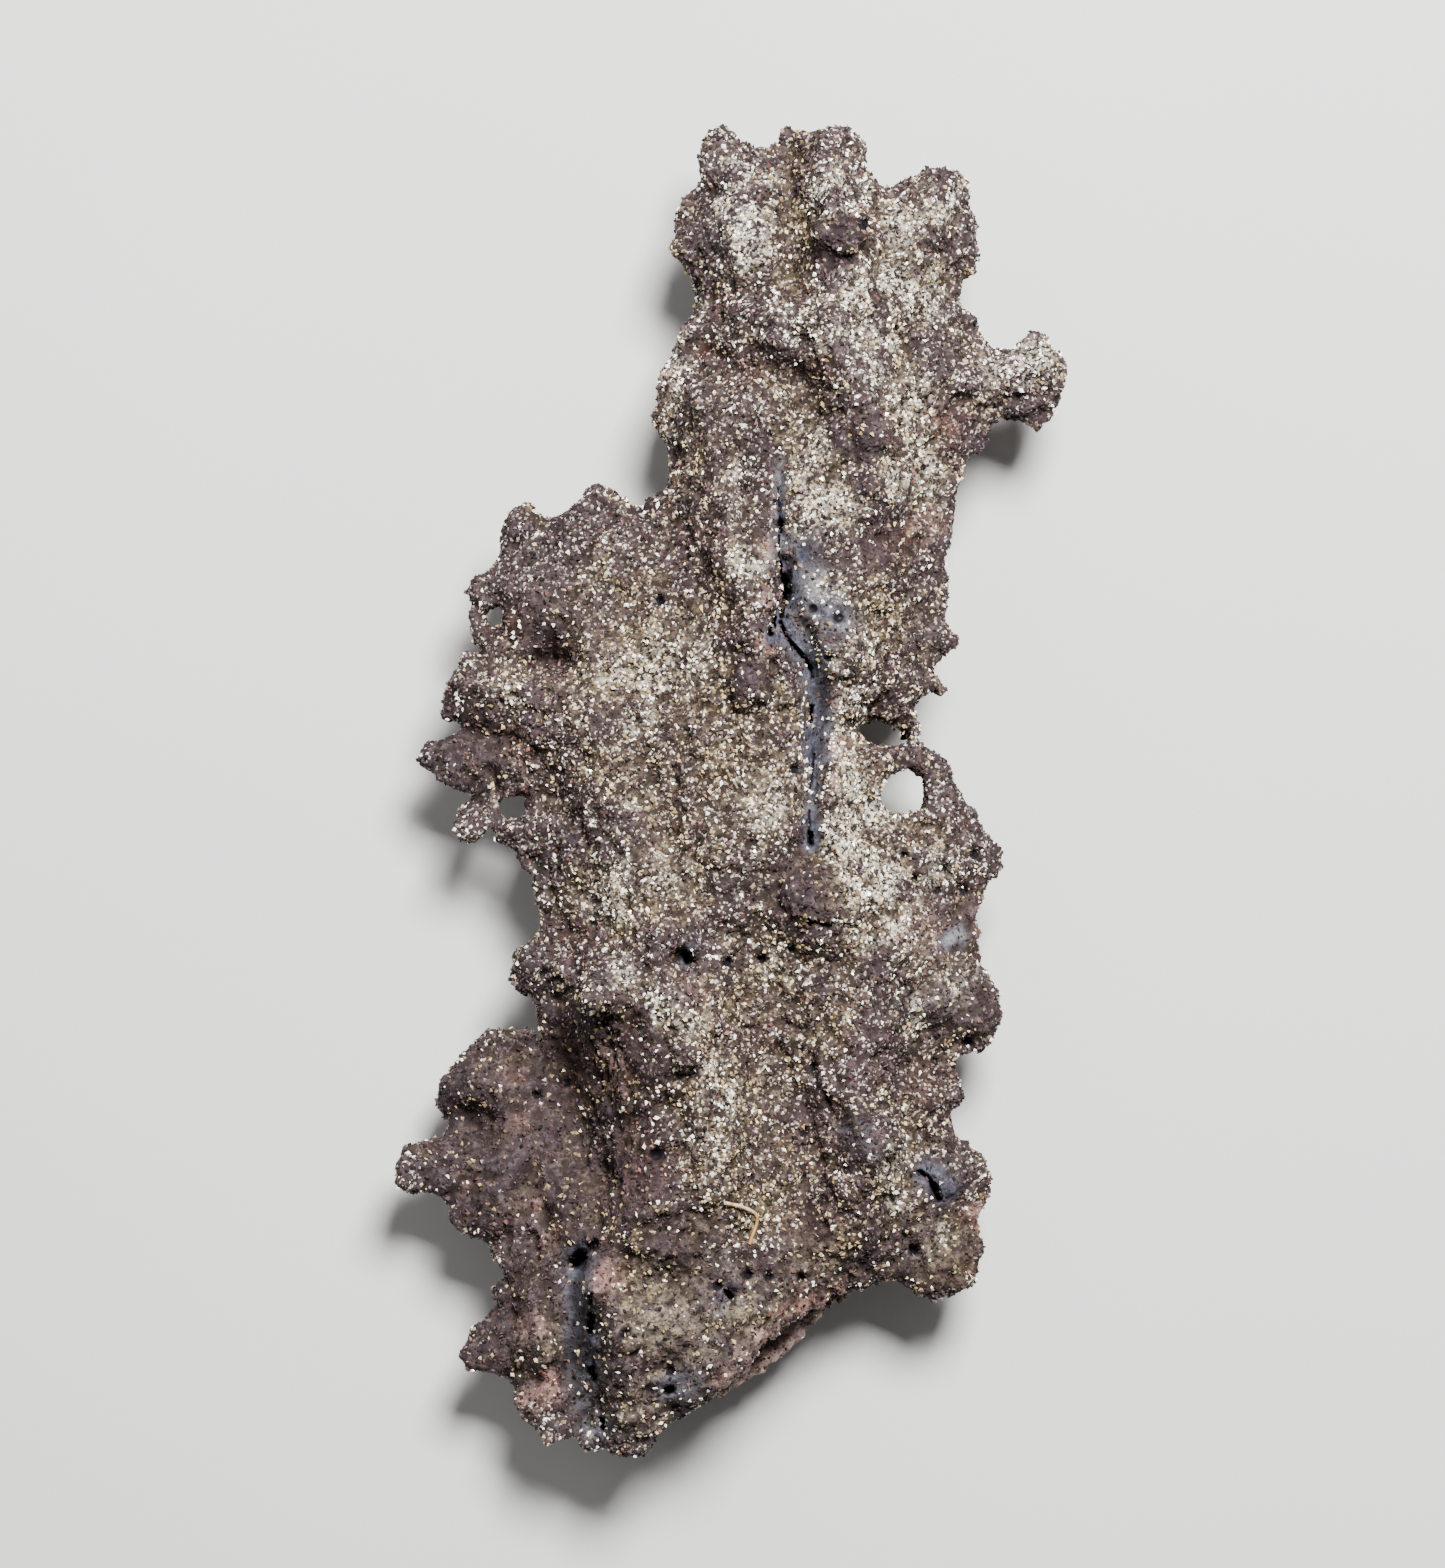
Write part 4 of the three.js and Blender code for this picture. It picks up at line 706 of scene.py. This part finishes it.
# The kinds of sand: radius in mm, and colours from darkest to palest grain
grainKinds = {
    "creamGrains": {
        "radius": 0.168, "seed": 11, "whenDull": -0.3, "roughness": 0.45, "shine": 0.2,
        "tones": [(0.07, 0.045, 0.022), (0.2, 0.143, 0.076), (0.53, 0.405, 0.22), (0.95, 0.82, 0.55)],
    },
    "quartzGrains": {
        "radius": 0.152, "seed": 12, "whenDull": -0.3, "roughness": 0.18, "shine": 1.0,
        "tones": [(0.6, 0.545, 0.455), (0.93, 0.855, 0.73), (0.98, 0.92, 0.81), (0.98, 0.96, 0.91)],
    },
    "mauveGrains": {
        "radius": 0.16, "seed": 13, "whenDull": 0.06, "roughness": 0.25, "shine": 0.18,
        "tones": [(0.015, 0.0082, 0.0098), (0.031, 0.0175, 0.021), (0.068, 0.041, 0.048), (0.165, 0.108, 0.122)],
    },
    "greyGrains": {
        "radius": 0.16, "seed": 14, "whenDull": 0.12, "roughness": 0.3, "shine": 0.12,
        "tones": [(0.016, 0.0103, 0.0082), (0.033, 0.022, 0.017), (0.074, 0.052, 0.041), (0.205, 0.155, 0.122)],
    },
    "rustGrains": {
        "radius": 0.16, "seed": 16, "whenDull": 0, "roughness": 0.4, "shine": 0.25,
        "tones": [(0.03, 0.012, 0.009), (0.07, 0.031, 0.023), (0.17, 0.088, 0.068), (0.38, 0.235, 0.185)],
    },
    "smokyGrains": {
        "radius": 0.16, "seed": 15, "whenDull": 0.05, "roughness": 0.2, "shine": 0.15,
        "tones": [(0.007, 0.0055, 0.0055), (0.013, 0.01, 0.0095), (0.025, 0.019, 0.018), (0.05, 0.038, 0.035)],
    },
}


def makeChips():
    collection = bpy.data.collections.new("chips")
    bpy.context.scene.collection.children.link(collection)
    rng = np.random.default_rng(chipForm["seed"])
    askew = chipForm["askew"]
    for i in range(chipForm["count"]):
        bpy.ops.object.select_all(action="DESELECT")
        bpy.ops.mesh.primitive_cone_add(
            vertices=chipForm["sides"], radius1=1, depth=chipForm["height"], location=(0, 0, chipForm["lift"]))
        chip = bpy.context.object
        selectFaces(chip.data, [len(face.vertices) == chipForm["sides"] for face in chip.data.polygons])
        edited(chip, bpy.ops.mesh.poke, everything=False, offset=chipForm["poke"])
        bpy.ops.object.transform_apply(location=True, rotation=True, scale=True)
        for vertex in chip.data.vertices:
            size = rng.uniform(*chipForm["sizes"])
            vertex.co = Vector(vertex.co) * size + Vector(rng.uniform(-askew, askew, 3))
        chip.name = f"chip{i}"
        for owner in list(chip.users_collection):
            owner.objects.unlink(chip)
        collection.objects.link(chip)
    return collection


def adderFor(tree):
    def add(kindName, inputs=(), **settings):
        node = tree.nodes.new(kindName)
        for key, value in settings.items():
            setattr(node, key, value)
        for key, value in dict(inputs).items():
            socket = node.inputs[key]
            if isinstance(value, bpy.types.NodeSocket):
                tree.links.new(value, socket)
            else:
                socket.default_value = value
        return node

    return add


# Each kind takes the places whose chance falls between its From and To layers
def scatterTree(name, kind, chips):
    tree = bpy.data.node_groups.new(name + "Scatter", "GeometryNodeTree")
    tree.interface.new_socket("Geometry", in_out="INPUT", socket_type="NodeSocketGeometry")
    tree.interface.new_socket("Geometry", in_out="OUTPUT", socket_type="NodeSocketGeometry")
    add = adderFor(tree)

    def random(form, inputs, output):
        return add("FunctionNodeRandomValue", inputs, data_type=form).outputs[output]

    def compared(value, operation, edge):
        layer = add("GeometryNodeInputNamedAttribute", {"Name": name + edge}, data_type="FLOAT").outputs[0]
        return add("ShaderNodeMath", {0: value, 1: layer}, operation=operation).outputs[0]

    skin = add("NodeGroupInput").outputs[0]
    spacing = scatter["spacing"] * 1 * mm
    points = add("GeometryNodeDistributePointsOnFaces", {
        "Mesh": skin, "Distance Min": spacing, "Density Max": scatter["densest"], "Seed": scatter["placeSeed"],
    }, distribute_method="POISSON")
    low, high = scatter["depths"]
    depth = random("FLOAT", {2: low * mm, 3: high * mm, "Seed": scatter["depthSeed"]}, 1)
    sunk = add("ShaderNodeVectorMath", {0: points.outputs["Normal"], "Scale": depth}, operation="SCALE")
    moved = add("GeometryNodeSetPosition", {"Geometry": points.outputs["Points"], "Offset": sunk.outputs[0]})
    chance = random("FLOAT", {"Seed": scatter["kindSeed"]}, 1)
    after = compared(chance, "GREATER_THAN", "From")
    before = compared(chance, "LESS_THAN", "To")
    chosen = add("ShaderNodeMath", {0: after, 1: before}, operation="MULTIPLY")
    turn = random("FLOAT_VECTOR", {0: (0,) * 3, 1: (scatter["turn"],) * 3, "Seed": kind["seed"]}, 0)
    small, large = (share * kind["radius"] * mm for share in scatter["sizes"])
    size = random("FLOAT_VECTOR", {0: (small,) * 3, 1: (large,) * 3, "Seed": kind["seed"] + 20}, 0)
    loose = {"Collection": chips, "Separate Children": True, "Reset Children": True}
    shape = add("GeometryNodeCollectionInfo", loose)
    instances = add("GeometryNodeInstanceOnPoints", {
        "Points": moved.outputs[0], "Selection": chosen.outputs[0], "Instance": shape.outputs[0],
        "Pick Instance": True, "Rotation": turn, "Scale": size,
    })
    real = add("GeometryNodeRealizeInstances", {"Geometry": instances.outputs[0]})
    tree.links.new(real.outputs[0], add("NodeGroupOutput").inputs[0])
    return tree


def makeGrains(body, chips):
    pieces = []
    for name, kind in grainKinds.items():
        piece = newPiece(name, body.data.copy())
        applied(piece, "NODES", node_group=scatterTree(name, kind, chips))
        finishGrains(piece, kind)
        pieces.append(piece)
        print(name + ":", len(piece.data.polygons), "triangles")
    return pieces


def finishGrains(piece, kind):
    mesh = piece.data
    dropLayers(mesh, [a.name for a in mesh.attributes if not (a.is_internal or a.is_required)])
    count = len(mesh.vertices) // cornersPerChip
    rng = np.random.default_rng(kind["seed"])
    co = placesOf(mesh)
    seen = seenFromAbove(co.reshape(-1, cornersPerChip, 3).mean(axis=1))
    dull, bright = patchAt(seen, dullPatches + ashPatches), patchAt(seen, brightAndLitPatches)
    spread = toneSpread["base"] + toneSpread["dull"] * dull + toneSpread["bright"] * bright
    spread = np.clip(spread, toneSpread["least"], toneSpread["most"])
    tone = 0.5 + (rng.random(count) - 0.5) * spread + kind["whenDull"] * dull
    addLayer(mesh, "tone", np.repeat(np.clip(tone, 0, 1), cornersPerChip))
    spreadOnMap(mesh, co, count)
    mesh.materials.clear()
    mesh.materials.append(grainFinish(piece.name, kind))
    mesh.shade_flat()


# Gives each grain a small square of its own on the map
def spreadOnMap(mesh, co, count):
    margin, used = 0.15, 0.7
    fromAbove, fromSide = 0.6, 0.4
    side = math.ceil(math.sqrt(count))
    corners = cornersOf(mesh)
    grain = corners // cornersPerChip
    firsts = np.arange(0, len(co), cornersPerChip)
    low = np.minimum.reduceat(co, firsts)
    span = np.maximum.reduceat(co, firsts) - low
    x, y, z = ((co[corners] - low[grain]) / np.maximum(span[grain], 1e-6)).T
    u = (grain % side + margin + used * x) / side
    v = (grain // side + margin + used * (fromAbove * y + fromSide * z)) / side
    mesh.uv_layers.new(name="OFBake").data.foreach_set("uv", np.stack([u, v], 1).astype(np.float32).ravel())


# The bit of dry straw in the hollow: x, y and height over the skin in mm, its width and colours
straw = {
    "route": [
        (-0.45, -25.85, 0.4), (0.3, -26.05, 0.5), (1.05, -26.35, 0.5), (1.45, -26.65, 0.45),
        (1.6, -26.95, 0.45), (1.55, -27.4, 0.4), (1.3, -28, 0.3), (1.1, -28.6, 0.2),
    ],
    "radius": 0.11,
    "bend": (-26.4, -27.2),      # y in mm where its bleached end turns to the golden one
    "bleached": (0.6, 0.47, 0.28),
    "pale": (0.33, 0.185, 0.045),
    "dark": (0.19, 0.09, 0.02),
    "streaks": 2600,
    "roughness": 0.5,
}


def layOn(body, route):
    highAbove, straightDown = 30, Vector((0, 0, -1))
    laid = []
    for x, y, lift in route:
        _, where, _, _ = body.ray_cast(Vector((x * mm, y * mm, highAbove * mm)), straightDown)
        laid.append((x, y, where.z / mm + lift))
    return laid


def makeStraw(body):
    curve = bpy.data.curves.new("strawPath", "CURVE")
    curve.dimensions = "3D"
    curve.bevel_depth = straw["radius"] * mm
    curve.bevel_resolution = 2
    curve.use_fill_caps = True
    line = curve.splines.new("POLY")
    route = layOn(body, straw["route"])
    line.points.add(len(route) - 1)
    for point, (x, y, z) in zip(line.points, route):
        point.co = (x * mm, y * mm, z * mm, 1)
    pick(newPiece("strawBit", curve))
    bpy.ops.object.convert(target="MESH")
    piece = bpy.context.object
    piece.data.materials.append(strawFinish())
    piece.data.shade_smooth()
    print("straw laid")
    return piece


def newFinish(name):
    material = bpy.data.materials.new(name)
    material.use_nodes = True
    shader = material.node_tree.nodes["Principled BSDF"]
    add = adderFor(material.node_tree)
    return material, shader, add, add("ShaderNodeTexCoord").outputs["Object"]


def finished(material, shader, colour, roughness):
    material.node_tree.links.new(colour, shader.inputs["Base Color"])
    shader.inputs["Roughness"].default_value = roughness
    return material


def noiseOf(add, places, scale, detail=2, roughness=0.5):
    inputs = {"Vector": places, "Scale": scale, "Detail": detail, "Roughness": roughness}
    return add("ShaderNodeTexNoise", inputs).outputs["Fac"]


def rampOf(add, factor, stops):
    ramp = add("ShaderNodeValToRGB", {"Fac": factor})
    while len(ramp.color_ramp.elements) < len(stops):
        ramp.color_ramp.elements.new(0.5)
    for element, (at, colour) in zip(ramp.color_ramp.elements, stops):
        element.position = at
        element.color = (*colour, 1)
    return ramp.outputs["Color"]


# A ramp of greys, to set a strength by
def greysOf(add, factor, stops):
    return rampOf(add, factor, [(at, (grey,) * 3) for at, grey in stops])


def mixed(add, factor, below, above):
    if isinstance(above, tuple):
        above = (*above, 1)
    return add("ShaderNodeMix", {0: factor, 6: below, 7: above}, data_type="RGBA").outputs[2]


def times(add, a, b):
    return add("ShaderNodeMath", {0: a, 1: b}, operation="MULTIPLY", use_clamp=True).outputs[0]


grainStain = {"scale": 900, "detail": 3, "strength": 0.3}


def grainFinish(name, kind):
    material, shader, add, places = newFinish(name + "Finish")
    tone = add("ShaderNodeAttribute", attribute_name="tone").outputs["Fac"]
    stain = noiseOf(add, places, grainStain["scale"], detail=grainStain["detail"])
    tones = kind["tones"]
    stops = [(i / (len(tones) - 1), colour) for i, colour in enumerate(tones)]
    colour = mixed(add, grainStain["strength"], rampOf(add, tone, stops), rampOf(add, stain, stops))
    shader.inputs["Specular IOR Level"].default_value = kind["shine"]
    return finished(material, shader, colour, kind["roughness"])


# The fused skin's patterns: scale, detail and roughness of the noise
skinPatterns = {"broad": (260, 4, 0.6), "fine": (1900, 3, 0.6), "grit": (5200, 2, 0.7), "grainAndGlintSpeckle": (3300, 2, 0.6)}
skinGround = [(0.3, (0.011, 0.0065, 0.0066)), (0.5, (0.024, 0.0155, 0.0152)), (0.72, (0.05, 0.034, 0.034))]
# Each laid over those before it: its mask, strength and pattern, its darkest and palest tone
skinLayers = [
    ("sand", 0.85, "fine", [(0.42, (0.02, 0.0135, 0.007)), (0.6, (0.15, 0.11, 0.06))]),
    ("ash", 0.8, "fine", [(0.38, (0.045, 0.037, 0.032)), (0.62, (0.235, 0.2, 0.16))]),
    # Pale speckle standing for white grains and painted glints
    ("bright", 0.65, "grainAndGlintSpeckle", [(0.47, (0.02, 0.016, 0.015)), (0.54, (0.56, 0.515, 0.43))]),
    ("crust", 0.95, "fine", [(0.3, (0.2, 0.1, 0.085)), (0.7, (0.46, 0.29, 0.245))]),
    ("bare", 1.0, "fine", [(0.3, (0.42, 0.26, 0.22)), (0.7, (0.72, 0.54, 0.48))]),
    # Brown and dark: partly the glass's own colour, partly painted shade
    ("brown", 0.85, "fine", [(0.3, (0.025, 0.01, 0.007)), (0.7, (0.1, 0.042, 0.026))]),
    ("dark", 0.75, "fine", [(0.3, (0.014, 0.01, 0.012)), (0.7, (0.055, 0.04, 0.047))]),
    ("glass", 1.5, "broad", [(0.3, (0.05, 0.05, 0.06)), (0.6, (0.14, 0.138, 0.158))]),
    ("navy", 1.3, "fine", [(0.3, (0.016, 0.017, 0.026)), (0.7, (0.078, 0.08, 0.108))]),
]
# Small specks: where in their pattern they start and are full, their strength and colour
skinSpecks = {
    "fine": (0.5, 0.68, 0.6, (0.12, 0.092, 0.086)),
    "grainy": (0.84, 0.92, 0.8, (0.5, 0.45, 0.38)),
    "grit": (0.5, 0.66, 0.7, (0.014, 0.01, 0.009)),
}
# Painted shade, laid over the rest: the small hollows (nook) and the slots and pits: mask, strength and shade
# colour
skinShadows = [("nook", 0.7, (0.016, 0.011, 0.009)), ("openingShade", 1.4, (0.007, 0.006, 0.008))]
skinSurface = {
    "grainScale": 6500, "fewerGrains": 0.8, "shine": 0.06, "bump": 0.8, "bumpDepth": 0.16,
    "roughness": 0.66, "overGlass": [(0.0, 0.66), (0.7, 0.3)],
}


def fusedSkin():
    material, shader, add, places = newFinish("fusedSkin")
    patterns = {name: noiseOf(add, places, *settings) for name, settings in skinPatterns.items()}

    def mask(name):
        return add("ShaderNodeAttribute", attribute_name=name).outputs["Fac"]

    def specks(name, colour):
        start, full, strength, tone = skinSpecks[name]
        return mixed(add, greysOf(add, patterns[name], [(start, 0.0), (full, strength)]), colour, tone)

    grains = add("ShaderNodeTexVoronoi", {"Vector": places, "Scale": skinSurface["grainScale"]}).outputs["Color"]
    grainy = add("ShaderNodeSeparateColor", {"Color": grains}).outputs[0]
    for smoother in ("glass", "dull"):
        fewer = times(add, mask(smoother), skinSurface["fewerGrains"])
        rest = add("ShaderNodeMath", {0: 1.0, 1: fewer}, operation="SUBTRACT").outputs[0]
        grainy = times(add, grainy, rest)
    patterns["grainy"] = grainy
    colour = specks("fine", rampOf(add, patterns["broad"], skinGround))
    for name, strength, pattern, tones in skinLayers:
        colour = mixed(add, times(add, mask(name), strength), colour, rampOf(add, patterns[pattern], tones))
    colour = specks("grit", specks("grainy", colour))
    for name, strength, tone in skinShadows:
        colour = mixed(add, times(add, mask(name), strength), colour, tone)
    rough = greysOf(add, mask("glass"), skinSurface["overGlass"])
    material.node_tree.links.new(rough, shader.inputs["Roughness"])
    shader.inputs["Specular IOR Level"].default_value = skinSurface["shine"]
    bump = add("ShaderNodeBump", {
        "Strength": skinSurface["bump"], "Distance": skinSurface["bumpDepth"] * mm, "Height": patterns["fine"],
    })
    material.node_tree.links.new(bump.outputs[0], shader.inputs["Normal"])
    return finished(material, shader, colour, skinSurface["roughness"])


def strawFinish():
    material, shader, add, places = newFinish("dryStraw")
    streaks = noiseOf(add, places, straw["streaks"], detail=3)
    high, low = straw["bend"]
    height = add("ShaderNodeSeparateXYZ", {"Vector": places}).outputs["Y"]
    golden = add("ShaderNodeMapRange", {"Value": height, "From Min": high * mm, "From Max": low * mm}).outputs[0]
    colour = mixed(add, golden, rampOf(add, streaks, [(0.35, straw["pale"]), (0.55, straw["bleached"])]),
                   rampOf(add, streaks, [(0.35, straw["dark"]), (0.6, straw["pale"])]))
    return finished(material, shader, colour, straw["roughness"])


studio = {
    "floorSize": 1.2,
    "floorTones": [(0.3, (0.48, 0.475, 0.465)), (0.7, (0.51, 0.505, 0.495))],
    "floorClouds": 12,
    "floorRoughness": 0.9,
    "lights": {                                   # place in metres, size, power in watts
        "mainLight": ((0.06, 0.15, 0.295), 0.1, 5.25),
        "sideLight": ((-0.3, 0.1, 0.3), 0.3, 0.4),
    },
    "air": 0.215,
}


def floorFinish():
    material, shader, add, places = newFinish("paleFloor")
    cloud = noiseOf(add, places, studio["floorClouds"])
    return finished(material, shader, rampOf(add, cloud, studio["floorTones"]), studio["floorRoughness"])


def makeStudio():
    bpy.ops.object.select_all(action="DESELECT")
    bpy.ops.mesh.primitive_plane_add(size=studio["floorSize"], location=(0, 0, 0))
    floor = bpy.context.object
    floor.name = "floor"
    floor.data.materials.append(floorFinish())
    for name, (where, size, power) in studio["lights"].items():
        light = bpy.data.lights.new(name, "AREA")
        light.size = size
        light.energy = power
        lamp = bpy.data.objects.new(name, light)
        lamp.location = where
        lamp.rotation_euler = (-Vector(where)).to_track_quat("-Z", "Y").to_euler()
        bpy.context.scene.collection.objects.link(lamp)
    world = bpy.data.worlds.new("studioAir")
    world.use_nodes = True
    air = world.node_tree.nodes["Background"].inputs
    air["Color"].default_value = (1, 1, 1, 1)
    air["Strength"].default_value = studio["air"]
    bpy.context.scene.world = world


def makeCamera():
    lens = bpy.data.cameras.new("overhead")
    lens.sensor_fit = "VERTICAL"
    lens.sensor_height = overhead["sensor"]
    lens.lens = overhead["lens"]
    lens.clip_start = 0.01
    view = bpy.data.objects.new("overhead", lens)
    x, y = overhead["aim"]
    view.location = (x * mm, y * mm, overhead["height"])
    bpy.context.scene.collection.objects.link(view)
    bpy.context.scene.camera = view


makeStudio()
makeCamera()
print("studio and camera set")
body = makeBody()
paintMasks(body)
chips = makeChips()
grains = makeGrains(body, chips)
dropLayers(body.data, [name + end for name in grainKinds for end in ("From", "To")])
strawBit = makeStraw(body)
for chip in list(chips.objects):
    bpy.data.objects.remove(chip)
bpy.data.collections.remove(chips)

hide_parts("fulgurite")
for piece in [body, *grains, strawBit]:
    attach(piece, "root")
